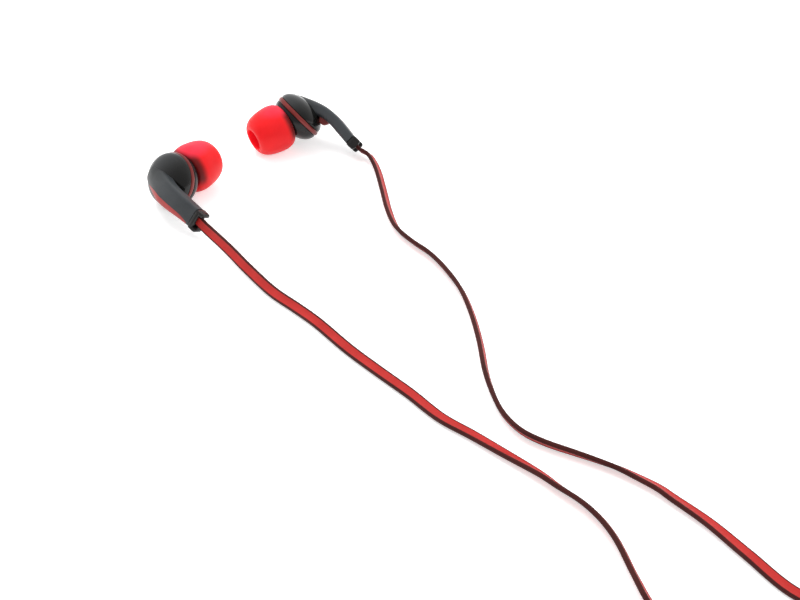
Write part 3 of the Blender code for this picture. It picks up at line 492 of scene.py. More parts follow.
def surface(name, tones, roughness, grain, bump, metallic=0.0, light_and_shade_fades=(), glow=0.0, **sockets):
    """A moulded, plated or coated surface.

    tones are the darkest and lightest colour of its slow variation, roughness its range, grain the fine
    texture's scale per metre and bump that texture's height in millimetres. Each fade paints light or shade:
    it gives a direction, the stretch along it in metres over which the tones change, and the tones at its
    end. glow is the strength of a painted glow, the colour given off as light of its own as if light came
    through from behind. Further sockets of the shader are set by name.
    """
    material = bpy.data.materials.new(name)
    material.use_nodes = True
    tree = material.node_tree
    shader = tree.nodes["Principled BSDF"]
    place = node(tree, "ShaderNodeTexCoord")
    slow = node(tree, "ShaderNodeTexNoise", Scale=PATCH_SCALE, Detail=3.0, Roughness=0.55)
    fine = node(tree, "ShaderNodeTexNoise", Scale=grain, Detail=2.0, Roughness=0.5)
    link(tree, place.outputs["Object"], slow.inputs["Vector"])
    link(tree, place.outputs["Object"], fine.inputs["Vector"])
    colour = toned(tree, slow.outputs["Fac"], tones)
    for direction, first, last, end_tones in light_and_shade_fades:
        along = node(tree, "ShaderNodeVectorMath", operation="DOT_PRODUCT")
        link(tree, place.outputs["Object"], along.inputs[0])
        along.inputs[1].default_value = direction
        share = node(tree, "ShaderNodeMapRange", interpolation_type="SMOOTHSTEP")
        share.inputs["From Min"].default_value = first
        share.inputs["From Max"].default_value = last
        link(tree, along.outputs["Value"], share.inputs["Value"])
        blend = node(tree, "ShaderNodeMix", data_type="RGBA")
        link(tree, share.outputs["Result"], blend.inputs["Factor"])
        link(tree, colour, blend.inputs["A"])
        link(tree, toned(tree, slow.outputs["Fac"], end_tones), blend.inputs["B"])
        colour = blend.outputs["Result"]
    link(tree, colour, shader.inputs["Base Color"])
    if glow:
        link(tree, colour, shader.inputs["Emission Color"])
        shader.inputs["Emission Strength"].default_value = glow
    link(tree, span(tree, fine.outputs["Fac"], *roughness), shader.inputs["Roughness"])
    height = node(tree, "ShaderNodeBump", Strength=1.0, Distance=bump * MM)
    link(tree, fine.outputs["Fac"], height.inputs["Height"])
    link(tree, height.outputs["Normal"], shader.inputs["Normal"])
    shader.inputs["Metallic"].default_value = metallic
    for key, value in sockets.items():
        shader.inputs[key.replace("_", " ")].default_value = value
    return material


FINISH = {
    # The tip's bore: red silicone with a painted glow, given off as light of its own as if light came through
    # the silicone
    "bore_with_painted_glow": surface(
        "red_bore_silicone_painted_glow", ((0.80, 0.004, 0.010), (0.88, 0.008, 0.016)), (0.50, 0.62), 2600.0, 0.003,
        Specular_IOR_Level=0.2, Emission_Color=(1.0, 0.004, 0.016, 1.0), Emission_Strength=0.30,
    ),
    "gloss": surface(
        "gloss_black", ((0.006, 0.006, 0.0065), (0.011, 0.011, 0.0115)), (0.08, 0.14), 900.0, 0.0006,
        Specular_IOR_Level=0.26,
    ),
    "collar": surface(
        "collar_black", ((0.006, 0.005, 0.005), (0.012, 0.010, 0.010)), (0.22, 0.34), 1800.0, 0.002,
        Specular_IOR_Level=0.35,
    ),
    "ring": surface(
        "accent_red", ((0.150, 0.014, 0.012), (0.230, 0.026, 0.022)), (0.24, 0.38), 3000.0, 0.002,
        metallic=0.3,
    ),
    "spine": surface("spine_red", ((0.36, 0.030, 0.028), (0.46, 0.048, 0.044)), (0.36, 0.5), 4200.0, 0.005),
    "cord_red": surface(
        "cord_red", ((0.43, 0.015, 0.012), (0.52, 0.025, 0.021)), (0.48, 0.64), 3200.0, 0.010,
        Specular_IOR_Level=0.32,
    ),
    "cord_black": surface(
        "cord_black", ((0.044, 0.006, 0.005), (0.066, 0.011, 0.009)), (0.50, 0.64), 3200.0, 0.010,
        Specular_IOR_Level=0.2,
    ),
    "black": surface(
        "satin_black", ((0.018, 0.018, 0.019), (0.030, 0.030, 0.031)), (0.34, 0.48), 4200.0, 0.006,
    ),
    "plated": surface(
        "plated_pin", ((0.78, 0.76, 0.72), (0.86, 0.84, 0.80)), (0.14, 0.26), 2400.0, 0.001, metallic=1.0,
    ),
    "steel": surface(
        "steel", ((0.50, 0.51, 0.53), (0.60, 0.61, 0.63)), (0.24, 0.40), 2400.0, 0.002, metallic=1.0,
    ),
    "magnet": surface(
        "magnet", ((0.30, 0.30, 0.32), (0.40, 0.40, 0.42)), (0.28, 0.42), 1800.0, 0.002, metallic=1.0,
    ),
    "copper": surface(
        "copper", ((0.66, 0.29, 0.15), (0.78, 0.38, 0.21)), (0.28, 0.42), 3600.0, 0.004, metallic=1.0,
    ),
    "film": surface("film", ((0.58, 0.56, 0.48), (0.66, 0.64, 0.56)), (0.24, 0.36), 1500.0, 0.002),
    "board": surface("board", ((0.022, 0.13, 0.055), (0.036, 0.18, 0.085)), (0.38, 0.52), 3000.0, 0.004),
}


# Places

def on_table(x, y):
    """Move a layout position by the shift that the part uses."""
    return x + LAYOUT_SHIFT[0], y + LAYOUT_SHIFT[1]


def earpiece_matrix(pose):
    """The earpiece frame from its place, its ear direction and its stem direction."""
    ear = Vector(pose["ear"]).normalized()
    stem = Vector(pose["stem"])
    stem = (stem - ear * stem.dot(ear)).normalized()
    across = (-stem).cross(ear)
    x, y = on_table(*pose["at"][:2])
    rotation = Matrix((across, -stem, ear)).transposed().to_4x4()
    return Matrix.Translation(Vector((x, y, pose["at"][2]))) @ rotation


def nozzle_slant(side):
    """Turn of the nozzle axis away from the housing's axis."""
    turn = math.radians(NOZZLE_LEAN_TURN)
    axis = Vector((-math.sin(turn), SIDEWAYS[side] * math.cos(turn), 0.0))
    return Matrix.Rotation(math.radians(NOZZLE_LEAN), 4, axis)


PLACE = {side: earpiece_matrix(pose) for side, pose in EARPIECES.items()}
SLANT = {side: nozzle_slant(side) for side in SIDES}


def fade_line(direction, start, first, last):
    """A painted light or shade fade's direction and the stretch along it, in millimetres from a start point.
    """
    middle = direction.dot(start)
    return tuple(direction), (middle + first) * MM, (middle + last) * MM


def down_stem(side, first, last):
    """A painted light or shade fade down the stem, from the housing's middle."""
    return fade_line(-PLACE[side].to_3x3().col[1], PLACE[side].translation, first, last)


def up_tip(side, first, last):
    """A painted light or shade fade along the tip's axis, from its foot."""
    foot = PLACE[side] @ SLANT[side]
    return fade_line(foot.to_3x3().col[2], foot.translation, first, last)


# Ear tips: red silicone with painted shade where the skirt curls in behind, a painted pink highlight on its
# top, plain red again near the table as painted light from it, and a faint painted glow as if light came
# through the silicone
TIP_SILICONE_PAINTED_LIGHT = {
    side: surface(
        f"{side}_red_silicone_painted_shade_and_light", ((0.80, 0.004, 0.007), (0.86, 0.007, 0.011)), (0.44, 0.56), 2600.0, 0.003,
        light_and_shade_fades=[
            (*up_tip(side, *CURL_PAINTED_SHADE), ((0.13, 0.0005, 0.0005), (0.17, 0.001, 0.001))),
            (*TOP_PAINTED_HIGHLIGHT, ((0.80, 0.018, 0.046), (0.86, 0.026, 0.060))),
            (*FOOT_PAINTED_LIGHT, ((0.80, 0.004, 0.007), (0.86, 0.007, 0.011))),
        ],
        glow=0.08, Specular_IOR_Level=0.32, Subsurface_Weight=0.3, Subsurface_Radius=(0.004, 0.0006, 0.0005),
        Subsurface_Scale=0.5, Sheen_Weight=0.05, Sheen_Roughness=0.4, Sheen_Tint=(1.0, 0.75, 0.85, 1.0),
    )
    for side in SIDES
}
# The tip's hollow: red silicone painted dark as shade, darker deeper in from the rim, and given a strong
# painted glow as if light came through the silicone
TIP_HOLLOW_PAINTED_GLOW_AND_SHADE = {
    side: surface(
        f"{side}_hollow_painted_shade_and_glow", ((0.12, 0.001, 0.002), (0.16, 0.002, 0.003)), (0.50, 0.62), 2600.0, 0.003,
        light_and_shade_fades=[(*up_tip(side, *HOLLOW_PAINTED_SHADE), ((0.045, 0.001, 0.001), (0.070, 0.002, 0.002)))],
        glow=0.8, Specular_IOR_Level=0.2,
    )
    for side in SIDES
}
# Domes: satin black with painted shade, darker towards the arm
DOME_BLACK_PAINTED_SHADE = {
    side: surface(
        f"{side}_satin_black", ((0.030, 0.032, 0.034), (0.039, 0.041, 0.043)), (0.10, 0.16), 2600.0, 0.001,
        light_and_shade_fades=[(*down_stem(side, *DOME_PAINTED_SHADE), ((0.004, 0.004, 0.0035), (0.007, 0.007, 0.0065)))],
        Specular_IOR_Level=0.34,
    )
    for side in SIDES
}
# Arms: satin grey with painted shade at the root by the dome, lighter further down the stem as painted light
ARM_GREY_PAINTED_SHADE_AND_LIGHT = {
    side: surface(
        f"{side}_satin_grey_painted_shade_and_light", ((0.019, 0.021, 0.022), (0.026, 0.029, 0.031)), (0.34, 0.46), 5200.0, 0.004,
        light_and_shade_fades=[(*down_stem(side, *ARM_PAINTED_LIGHT_AND_SHADE), ((0.032, 0.036, 0.040), (0.045, 0.050, 0.055)))],
        Specular_IOR_Level=0.40,
    )
    for side in SIDES
}


# Earpieces

def behind_nose(points):
    """Tip profile points from pairs of radius and distance behind the nose."""
    return [(radius, TIP_NOSE - back) for radius, back in points]


def before_rim(points):
    """Tip profile points from pairs of radius and distance in front of the rim."""
    return [(radius, TIP_RIM + front) for radius, front in points]


def build_tip(side):
    """Soft ear tip: an outer skirt that folds back over an inner tube."""
    nose = [(TIP_MOUTH_RADIUS + TIP_NOSE_ROUND, TIP_NOSE)]
    skirt = rounded(nose + behind_nose(TIP_SKIRT_FRONT) + before_rim(TIP_SKIRT_REAR))
    rim = rounded(before_rim(TIP_CURL), TIP_CURL_STEP)
    tube_rear = [(TIP_TUBE_RADIUS, TIP_TUBE_REAR)]
    lining = rounded(before_rim(TIP_LINING_REAR) + behind_nose(TIP_LINING_FRONT) + tube_rear)
    tube_end = TIP_TUBE_REAR - TIP_TUBE_END
    seat = NOZZLE_END + TIP_SEAT_GAP
    tube = [
        (TIP_TUBE_RADIUS - TIP_TUBE_ROUND, tube_end), (TIP_BORE_RADIUS + TIP_TUBE_END, tube_end),
        (TIP_BORE_RADIUS, TIP_TUBE_REAR), (TIP_BORE_RADIUS, seat),
    ]
    mouth = behind_nose([(TIP_MOUTH_RADIUS + wider, back) for wider, back in TIP_MOUTH])
    outside = skirt + rim[1:]
    hollow = lining[1:] + tube
    bore = [(TIP_MOUTH_RADIUS, seat)] + rounded(mouth, TIP_MOUTH_STEP)
    rows = [0] * (len(outside) - 1) + [1] * len(hollow) + [2] * (len(bore) + 1)
    bands = [band for band in rows for _ in range(ROUND)]
    finishes = [TIP_SILICONE_PAINTED_LIGHT[side], TIP_HOLLOW_PAINTED_GLOW_AND_SHADE[side], FINISH["bore_with_painted_glow"]]
    add_piece(
        f"{side}_tip_skin", lathe(outside + hollow + bore, closed=True), finishes, f"{side}_tip",
        PLACE[side] @ SLANT[side], [f"{side}_ear_tip"], bands, sharp=60.0,
    )


def shell(depth):
    """Profile of a housing shell, from its flat seam over the seam's edge to the pole."""
    edge = HOUSING_RADIUS - SEAM_ROUND
    seam = [(0.0, SHELL_START), (edge - SHELL_FLAT, SHELL_START), (edge, SHELL_START)]
    return seam + arc(HOUSING_RADIUS, depth, SHELL_START + SEAM_ROUND, 0.0, 90.0, SHELL_POINTS)


def build_housing(side):
    """Dome, accent ring and bowl with its nozzle."""
    dome = [(radius, -height) for radius, height in shell(DOME_DEPTH)]
    add_piece(
        f"{side}_dome", lathe(dome), [DOME_BLACK_PAINTED_SHADE[side]], BODY, PLACE[side],
        [f"{side}_rear_housing"],
    )

    crown = arc(RING_ROUND, RING_HALF_WIDTH, 0.0, -90.0, 90.0, RING_POINTS)
    ring = [(RING_RADIUS - RING_ROUND + radius, height) for radius, height in crown]
    ring += [(RING_INNER_RADIUS, RING_INNER_HALF_WIDTH), (RING_INNER_RADIUS, -RING_INNER_HALF_WIDTH)]
    add_piece(
        f"{side}_ring", lathe(ring, closed=True), [FINISH["ring"]], BODY, PLACE[side],
        [f"{side}_accent_ring"],
    )

    lip_rear = NOZZLE_END - LIP_LENGTH
    nozzle = [
        (SOUND_BORE_RADIUS, NOZZLE_END - SOUND_BORE_ROUND),
        (SOUND_BORE_RADIUS + SOUND_BORE_ROUND, NOZZLE_END),
        (LIP_RADIUS - LIP_ROUND, NOZZLE_END), (LIP_RADIUS, NOZZLE_END - LIP_ROUND),
        (LIP_RADIUS, lip_rear), (NOZZLE_RADIUS, lip_rear - LIP_ROUND),
        (NOZZLE_RADIUS, NOZZLE_BASE), (SOUND_BORE_RADIUS, NOZZLE_BASE),
    ]
    shape = merged(lathe(shell(BOWL_DEPTH)), moved(lathe(nozzle, closed=True), SLANT[side]))
    add_piece(
        f"{side}_bowl", shape, [FINISH["gloss"]], BODY, PLACE[side], [f"{side}_front_housing"],
    )


def stem_point(x, along, back):
    """A point of the stem in the earpiece frame."""
    return x, -along, -back


def read_line(line, along):
    """Value of a smooth line of (along, value) pairs."""
    drawn = smooth_route([(a, b, 0.0) for a, b in line], LINE_STEP)
    return np.interp(along, drawn[:, 0], drawn[:, 1])


def stem_lines(along, side):
    """Place, middle, half depth, half width, sideways shift and squareness of the stem along its length."""
    back = read_line(STEM_BACK, along)
    front = read_line(STEM_FRONT, along)
    rail_reach = read_line(STEM_RAIL_REACH, along)
    near_reach = read_line(STEM_NEAR_REACH, along)
    width = 0.5 * (rail_reach + near_reach)
    shift = 0.5 * (rail_reach - near_reach) * -SIDEWAYS[side]
    square = read_line(STEM_SQUARENESS, along)
    return zip(along, 0.5 * (back + front), 0.5 * (back - front), width, shift, square)


def squared(width, depth, square, degrees):
    """Points of a section between an ellipse and a rectangle, by angle."""
    points = []
    for angle in np.radians(degrees):
        u = math.copysign(abs(math.cos(angle)) ** (2.0 / square), math.cos(angle))
        v = math.copysign(abs(math.sin(angle)) ** (2.0 / square), math.sin(angle))
        points.append((width * u, depth * v))
    return points


def dome_height(x, along):
    """Distance of the dome's skin behind the ring's plane, at a place across the housing."""
    inside = max(0.0, 1.0 - (x * x + along * along) / HOUSING_RADIUS**2)
    return SHELL_START + SEAM_ROUND + DOME_DEPTH * math.sqrt(inside)


def filleted(height, base, fillet):
    """Height of a skin that runs into a base skin over a fillet, and stays under it beyond the fillet."""
    apart = abs(height - base)
    if height > base + fillet:
        return height
    if height < base - fillet:
        return height + fillet
    return max(height, base) + (fillet - apart) ** 2 / (4.0 * fillet)


def stem_section(station, side, degrees, grow=0.0):
    """Points of the stem's section in the earpiece frame, by angle from the rail's side to the back."""
    along, middle, depth, width, shift, square = station
    rail_side = -SIDEWAYS[side]
    points = []
    for u, v in squared(width + grow, depth + grow, square, degrees):
        x = rail_side * u + shift
        back = middle + v
        if v > 0.0:
            share = np.interp(rail_side * x, FILLET_TURN, (0.0, 1.0))
            fillet = CREASE_FILLET + (ROOT_FILLET - CREASE_FILLET) * share
            back = filleted(back, dome_height(x, along), fillet)
        points.append(stem_point(x, along, back))
    return points


def build_stem(side):
    """Curved arm with its rail, web and collar."""
    along = np.linspace(STEM_BACK[0][0], STEM_BACK[-1][0], STEM_STATIONS)
    around = np.arange(0.0, 360.0, STEM_ANGLE_STEP)
    sections = [stem_section(station, side, around) for station in stem_lines(along, side)]
    add_piece(
        f"{side}_arm", loft(sections), [ARM_GREY_PAINTED_SHADE_AND_LIGHT[side]], BODY, PLACE[side],
        [f"{side}_stem_body"],
    )

    along = np.linspace(RAIL_START, RAIL_END, STEM_STATIONS)
    sections = []
    for station, reach in zip(stem_lines(along, side), read_line(RAIL_REACH, along)):
        sweep = np.linspace(RAIL_MIDDLE - reach, RAIL_MIDDLE + reach, RAIL_POINTS)
        outer = stem_section(station, side, sweep, RAIL_PROUD)
        inner = stem_section(station, side, sweep[::-1], -RAIL_DEPTH)
        sections.append(outer + inner)
    add_piece(
        f"{side}_rail", loft(sections), [FINISH["spine"]], BODY, PLACE[side],
        [f"{side}_stem_spine"],
    )

    rows = []
    middle_along, middle_back = np.mean(WEB_OUTLINE, axis=0)
    for share, shrink in WEB_ROWS:
        row = []
        for place, back in WEB_OUTLINE:
            near_along = middle_along + (place - middle_along) * shrink
            near_back = middle_back + (back - middle_back) * shrink
            row.append(stem_point(0.5 * share * WEB_WIDTH, near_along, near_back))
        rows.append(row)
    add_piece(
        f"{side}_web", loft(rows), [FINISH["ring"]], BODY, PLACE[side], [f"{side}_stem_web"],
    )

    build_collar(side)


def build_collar(side):
    """Moulded collar with two prongs beside the flat cord that comes out of its slot."""
    outer_u = COLLAR_HALF_WIDTH
    outer_v = 0.5 * COLLAR_DEPTH
    slot_u = 0.5 * CORD_WIDTH + GAP
    slot_v = 0.5 * CORD_THICKNESS + GAP
    end = COLLAR_START + COLLAR_LENGTH
    shoulder = end - PRONG_LENGTH
    rows = []
    for start, table in ((COLLAR_START, COLLAR_REAR), (shoulder, COLLAR_SHOULDER)):
        for far, inset, corner in table:
            rows.append((start + far, outer_u - inset, outer_v - inset, corner))
    for far, wider, corner in COLLAR_SLOT:
        rows.append((shoulder + far, slot_u + wider, slot_v + wider, corner))
    rows.append((COLLAR_START, slot_u, slot_v, COLLAR_SLOT_CORNER))
    prong_u = 0.5 * (outer_u - slot_u)
    inset_u, inset_v, corner = PRONG_ROOT_ROW
    prong_rows = [(COLLAR_START + PRONG_ROOT, prong_u - inset_u, outer_v - inset_v, corner)]
    for far, inset_u, inset_v, corner in PRONG_ROWS:
        prong_rows.append((end + far, prong_u - inset_u, outer_v - inset_v, corner))
    shapes = [loft(collar_sections(rows, 0.0), ring=True)]
    for hand in (-1.0, 1.0):
        shapes.append(loft(collar_sections(prong_rows, hand * (slot_u + prong_u))))
    add_piece(
        f"{side}_collar", merged(*shapes), [FINISH["collar"]], BODY, PLACE[side],
        [f"{side}_cord_collar"], sharp=50.0,
    )


def collar_sections(rows, sideways):
    """Rounded sections of a piece of the collar, each given by its place, half sizes and corner."""
    sections = []
    for place, half_u, half_v, corner in rows:
        outline = rounded_box(half_u, half_v, corner)
        sections.append([stem_point(u + sideways, place, COLLAR_BACK + v) for u, v in outline])
    return sections


# Cords

SPLIT_RUN = Vector((*SPLIT_DIRECTION, 0.0)).normalized()
SPLIT_LEFT_HAND = Vector((0, 0, 1)).cross(SPLIT_RUN)
SPLIT_FRONT = Vector((*on_table(*SPLIT_AT), 0.5 * SPLIT_HEIGHT))
SPLIT_ENTRY = {
    "left": SPLIT_FRONT - SPLIT_RUN * GAP - SPLIT_LEFT_HAND * BRANCH_OFFSET,
    "right": SPLIT_FRONT - SPLIT_RUN * GAP + SPLIT_LEFT_HAND * BRANCH_OFFSET,
}
SPLIT_EXIT = SPLIT_FRONT + SPLIT_RUN * (SPLIT_LENGTH + GAP)


def resting_height(roll):
    """Height of a flat cord's middle when its lower edge is on the table."""
    lean = abs(math.sin(math.radians(roll)))
    return 0.5 * CORD_THICKNESS + 0.5 * (CORD_WIDTH - CORD_THICKNESS) * lean + TABLE_CLEARANCE


def cord_section():
    """Outline of the flat cord with its faces between the two dark edge bands."""
    half_w = 0.5 * CORD_WIDTH
    half_t = 0.5 * CORD_THICKNESS
    split = half_w - CORD_EDGE_BAND
    outer = split + CORD_SLOPE[0]
    inner = split - CORD_SLOPE[1]
    sunk = half_t - CORD_GROOVE
    outline = []
    for sign in (1, -1):
        for degrees in np.linspace(-90.0, 90.0, CORD_ROUND_POINTS):
            angle = math.radians(degrees)
            reach = half_w - CORD_ROUND + CORD_ROUND * math.cos(angle)
            outline.append((sign * reach, sign * half_t * math.sin(angle)))
        outline.append((sign * outer, sign * half_t))
        outline.append((sign * inner, sign * sunk))
        outline.append((-sign * inner, sign * sunk))
        outline.append((-sign * outer, sign * half_t))
    return outline


def cord_shape(stations):
    """Sweep the cord's section along (x, y, z, roll) stations. Returns the shape and its colour bands."""
    stations = np.array(stations, float)
    section = cord_section()
    split = 0.5 * CORD_WIDTH - CORD_EDGE_BAND
    tangents = np.gradient(stations[:, :3], axis=0)
    sections = []
    for (x, y, z, roll), tangent in zip(stations, tangents):
        run = Vector(tangent).normalized()
        left_hand = Vector((0, 0, 1)).cross(run).normalized()
        up = run.cross(left_hand)
        lean = math.radians(roll)
        width = left_hand * math.cos(lean) + up * math.sin(lean)
        thick = run.cross(width)
        middle = Vector((x, y, z))
        sections.append([middle + width * u + thick * v for u, v in section])
    shape = loft(sections)
    red = [abs(a[0]) < split and abs(b[0]) < split for a, b in zip(section, section[1:] + section[:1])]
    bands = [0 if is_red else 1 for is_red in red] * (len(sections) - 1) + [1, 1]
    return shape, bands


def add_cord(name, stations):
    """A flat cord as a piece."""
    shape, bands = cord_shape(stations)
    piece = add_piece(
        name + "_flat", shape, [FINISH["cord_red"], FINISH["cord_black"]], BODY, None,
        [name], bands, sharp=35.0,
    )


def branch_stations(side):
    """The flat cord from one earpiece to the split."""
    world = PLACE[side]
    seat = world @ Vector(stem_point(0.0, COLLAR_START, COLLAR_BACK))
    mouth = world @ Vector(stem_point(0.0, COLLAR_START + COLLAR_LENGTH, COLLAR_BACK))
    run = (mouth - seat).normalized()
    left_hand = Vector((0, 0, 1)).cross(run).normalized()
    width = world.to_3x3() @ Vector((1, 0, 0))
    route, roll_turns = ROUTES[side]
    lean = math.atan2(width.dot(run.cross(left_hand)), width.dot(left_hand))
    roll = math.degrees(lean) + 180.0 * roll_turns
    split_end = SPLIT_ENTRY[side]
    last_roll = route[-1][3]
    stations = [(*(mouth + run * CORD_THICKNESS), roll)]
    for x, y, lift, turn in route:
        stations.append((*on_table(x, y), resting_height(turn) + lift, turn))
    stations.append((*(split_end - SPLIT_RUN * CORD_WIDTH), last_roll))
    placed = smooth_route(stations, CORD_FINE_STEP)
    return np.vstack([(*seat, roll), (*mouth, roll), placed, (*split_end, last_roll)])


def coil_stations():
    """The wound part of the main cord: in on the lower layer, up over half a turn, out on the upper layer."""
    total = 2.0 * COIL_TURNS + COIL_CLIMB_TURNS
    outer = COIL_MEAN_RADIUS + 0.25 * COIL_PITCH * total
    low = 0.5 * CORD_WIDTH + COIL_LIFT
    centre = on_table(*COIL_CENTRE)
    stations = []
    for i in range(int(round(total * COIL_FINE_POINTS)) + 1):
        turn = i / COIL_FINE_POINTS
        climb = min(max((turn - COIL_TURNS) / COIL_CLIMB_TURNS, 0.0), 1.0)
        radius = outer - COIL_PITCH * min(turn, total - turn)
        angle = 2.0 * math.pi * turn
        height = low + COIL_LAYER_RISE * (3.0 * climb**2 - 2.0 * climb**3)
        x = centre[0] + radius * math.cos(angle)
        y = centre[1] + radius * math.sin(angle)
        stations.append((x, y, height, 90.0))
    return stations


def main_stations():
    """The cord from the split through the coil to the plug."""
    wound = coil_stations()
    rest = wound[0][2] - 0.5 * CORD_WIDTH
    lead_in = [(*(SPLIT_EXIT + SPLIT_RUN * CORD_WIDTH), 0.0)]
    for x, y, roll in MAIN_LEAD_IN:
        lead_in.append((*on_table(x, y), resting_height(roll) + rest * roll / 90.0, roll))
    approach = smooth_route(lead_in + [wound[0]], CORD_FINE_STEP)
    x, y, z, roll = wound[-1]
    drop = 0.5 * (z + PLUG_AXIS_HEIGHT)
    leave = [
        wound[-1], (x, y + PLUG_LEAD_LEVEL * PLUG_LEAD, z, roll),
        (x, y + PLUG_LEAD_DROP * PLUG_LEAD, drop, roll),
        (x, y + PLUG_LEAD - CORD_WIDTH, PLUG_AXIS_HEIGHT, roll),
    ]
    departure = smooth_route(leave, CORD_FINE_STEP)
    plug_end = (x, y + PLUG_LEAD, PLUG_AXIS_HEIGHT, roll)
    return np.vstack([(*SPLIT_EXIT, 0.0), approach[:-1], wound, departure[1:], plug_end])


# Split, tie and plug

def build_split():
    """The moulding that joins the branches to the main cord."""
    sections = []
    for place, half_u, half_v, corner in SPLIT_ROWS:
        outline = rounded_box(half_u, half_v, corner, SPLIT_CORNER_STEPS)
        sections.append([(place, u, v) for u, v in outline])
    axes = Matrix((SPLIT_RUN, SPLIT_LEFT_HAND, (0, 0, 1))).transposed().to_4x4()
    return add_piece(
        "split_moulding", loft(sections), [FINISH["black"]], BODY, Matrix.Translation(SPLIT_FRONT) @ axes,
        ["y_split"],
    )


def build_tie():
    """A soft strap round the coil's bundle."""
    total = 2.0 * COIL_TURNS + COIL_CLIMB_TURNS
    half_wide = 0.25 * COIL_PITCH * total + 0.5 * (CORD_THICKNESS + COIL_PITCH) + GAP
    half_high = 0.5 * (CORD_WIDTH + COIL_LAYER_RISE) + GAP
    centre = Vector((*on_table(*COIL_CENTRE), COIL_LIFT - GAP + half_high)) - Vector((COIL_MEAN_RADIUS, 0, 0))
    inner = rounded_box(half_wide, half_high, TIE_CORNER, TIE_CORNER_STEPS)
    outer = rounded_box(
        half_wide + TIE_THICKNESS, half_high + TIE_THICKNESS, TIE_CORNER + TIE_THICKNESS, TIE_CORNER_STEPS,
    )
    sections = []
    for (u, v), (out_u, out_v) in zip(inner, outer):
        low = Vector((u, 0.0, v))
        high = Vector((out_u, 0.0, out_v))
        row = []
        for hand, edge in ((1.0, TIE_EDGE), (-1.0, TIE_EDGE[::-1])):
            for share, side_share in edge:
                row.append(low.lerp(high, share) + Vector((0.0, hand * 0.5 * TIE_LENGTH * side_share, 0.0)))
        sections.append(row)
    return add_piece(
        "coil_strap", loft(sections, ring=True), [FINISH["black"]], BODY, Matrix.Translation(centre),
        ["coil_tie"], sharp=60.0,
    )


def build_plug(end):
    """Ribbed strain relief, grip and the contacts of a three-contact pin, all along +Y."""
    facing = Matrix.Translation(end) @ Matrix.Rotation(math.radians(-90.0), 4, "X")
    made = []
    relief = list(RELIEF_REAR)
    for i in range(RELIEF_RIBS):
        start = RELIEF_RIB_START + i * RELIEF_RIB_PITCH
        radius = RELIEF_REAR_RADIUS + (RELIEF_FRONT_RADIUS - RELIEF_REAR_RADIUS) * i / (RELIEF_RIBS - 1)
        root = radius - RELIEF_RIB_DEPTH
        crest = [(radius, start + place) for place in RELIEF_RIB_CREST]
        relief += [(root, start), *crest, (root, start + RELIEF_RIB_LENGTH)]
    relief += [(RELIEF_FRONT_RADIUS, place) for place in RELIEF_FRONT] + [(0.0, RELIEF_FRONT[-1])]
    made.append(add_piece(
        "relief_ribs", lathe(relief, segments=PLUG_ROUND), [FINISH["black"]], BODY, facing,
        ["plug_relief"],
    ))
    grip = [*GRIP_REAR, *rounded(GRIP_SIDE), *GRIP_FRONT]
    made.append(add_piece(
        "grip_body", lathe(grip), [FINISH["black"]], BODY, facing, ["plug_grip"],
    ))
    for name, replaced, rear, front, radius, finish, slot in CONTACTS:
        soft = radius - CONTACT_ROUND
        profile = [
            (0.0, rear), (soft, rear), (radius, rear + CONTACT_ROUND), (radius, front - CONTACT_ROUND),
            (soft, front), (0.0, front),
        ]
        made.append(add_piece(
            name + "_band", lathe(profile, segments=PLUG_ROUND), [FINISH[finish]], BODY, facing,
            [replaced],
        ))
    tip = [*PIN_TIP_REAR, *rounded(PIN_TIP_SIDE, PIN_TIP_STEP), (0.0, PIN_TIP_END)]
    made.append(add_piece(
        "tip_contact", lathe(tip, segments=PLUG_ROUND), [FINISH["plated"]], BODY, facing,
        ["plug_tip"],
    ))
    return made


def repaint(name, finish):
    """Give a kept solid its finish."""
    slots = nodes[name].data.materials
    slots.clear()
    slots.append(FINISH[finish])


# Studio

def build_surround():
    """White surround, weaker behind the camera."""
    world = bpy.data.worlds.new("surround")
    bpy.context.scene.world = world
    world.use_nodes = True
    tree = world.node_tree
    background = tree.nodes["Background"]
    background.inputs["Color"].default_value = WHITE
    place = node(tree, "ShaderNodeTexCoord")
    parts = node(tree, "ShaderNodeSeparateXYZ")
    link(tree, place.outputs["Generated"], parts.inputs["Vector"])
    strength = node(tree, "ShaderNodeMapRange", interpolation_type="SMOOTHSTEP")
    link(tree, parts.outputs["Y"], strength.inputs["Value"])
    strength.inputs["From Min"].default_value = SURROUND_TURN[0]
    strength.inputs["From Max"].default_value = SURROUND_TURN[1]
    strength.inputs["To Min"].default_value = SURROUND_NEAR
    strength.inputs["To Max"].default_value = SURROUND
    link(tree, strength.outputs["Result"], background.inputs["Strength"])


def table_white():
    """White of the table, which the camera and reflections see brighter than the light makes it."""
    material = bpy.data.materials.new("table_white")
    material.use_nodes = True
    tree = material.node_tree
    shader = tree.nodes["Principled BSDF"]
    shader.inputs["Base Color"].default_value = FLOOR_COLOUR
    shader.inputs["Roughness"].default_value = FLOOR_ROUGHNESS
    shader.inputs["Specular IOR Level"].default_value = FLOOR_SPECULAR
    rays = tree.nodes.new("ShaderNodeLightPath")
    seen = node(tree, "ShaderNodeMath", operation="MAXIMUM")
    seen_through = node(tree, "ShaderNodeMath", operation="MAXIMUM")
    link(tree, rays.outputs["Is Camera Ray"], seen.inputs[0])
    link(tree, rays.outputs["Is Glossy Ray"], seen.inputs[1])
    link(tree, seen.outputs[0], seen_through.inputs[0])
    link(tree, rays.outputs["Is Transmission Ray"], seen_through.inputs[1])
    glow = node(tree, "ShaderNodeMath", operation="MULTIPLY")
    glow.inputs[1].default_value = TABLE_GLOW
    link(tree, seen_through.outputs[0], glow.inputs[0])
    shader.inputs["Emission Color"].default_value = WHITE
    link(tree, glow.outputs[0], shader.inputs["Emission Strength"])
    return material


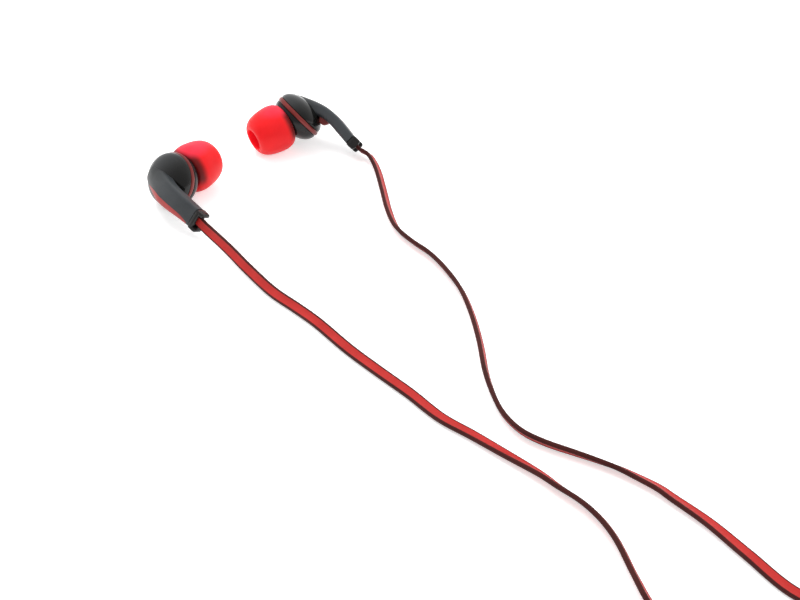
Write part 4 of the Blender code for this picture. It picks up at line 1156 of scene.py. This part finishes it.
def build_table():
    """White table under the object."""
    half = FLOOR_REACH * MM
    low = -FLOOR_DROP * MM
    corners = [(-half, -half, low), (half, -half, low), (half, half, low), (-half, half, low)]
    mesh = bpy.data.meshes.new("table")
    mesh.from_pydata(corners, [], [(0, 1, 2, 3)])
    table = bpy.data.objects.new("table", mesh)
    bpy.context.scene.collection.objects.link(table)
    mesh.materials.append(table_white())


def build_camera():
    """Camera with the photo's view."""
    camera = bpy.data.cameras.new("camera")
    camera.sensor_width = SENSOR
    camera.lens = FOCAL_PIXELS / IMAGE_WIDTH * SENSOR
    camera.clip_start = NEAR_CLIP * MM
    holder = bpy.data.objects.new("camera", camera)
    bpy.context.scene.collection.objects.link(holder)
    place = (*on_table(*CAMERA_AT[:2]), CAMERA_AT[2])
    aim = (*on_table(*CAMERA_AIM[:2]), CAMERA_AIM[2])
    place_facing(holder, place, aim)
    bpy.context.scene.camera = holder


def build_studio():
    """White table, white surround, soft lamps and the camera."""
    bpy.context.scene.view_settings.view_transform = "Standard"
    build_surround()
    build_table()
    for name, place, size, power in LAMPS:
        add_lamp(name, place, LAMP_AIM, size, power)
    build_camera()


def place_facing(thing, place, aim):
    """Put a lamp or camera in place and turn it to its aim."""
    place = Vector(place) * MM
    thing.location = place
    thing.rotation_euler = (Vector(aim) * MM - place).to_track_quat("-Z", "Y").to_euler()


def add_lamp(name, place, aim, size, power):
    """A soft round lamp that reflections don't show."""
    lamp = bpy.data.lights.new(name, "AREA")
    lamp.shape = "DISK"
    lamp.size = size * MM
    lamp.energy = power
    holder = bpy.data.objects.new(name, lamp)
    bpy.context.scene.collection.objects.link(holder)
    holder.visible_glossy = False
    place_facing(holder, place, aim)


# The object on its table

build_studio()
for side in SIDES:
    build_housing(side)
    build_tip(side)
    build_stem(side)
    for part, finish in KEPT.items():
        repaint(f"{side}_{part}", finish)

split = build_split()
add_cord("left_cord", branch_stations("left"))
add_cord("right_cord", branch_stations("right"))
main_line = main_stations()
main_fittings = [build_tie(), *build_plug(Vector(main_line[-1][:3]))]
add_cord("main_cord", main_line)
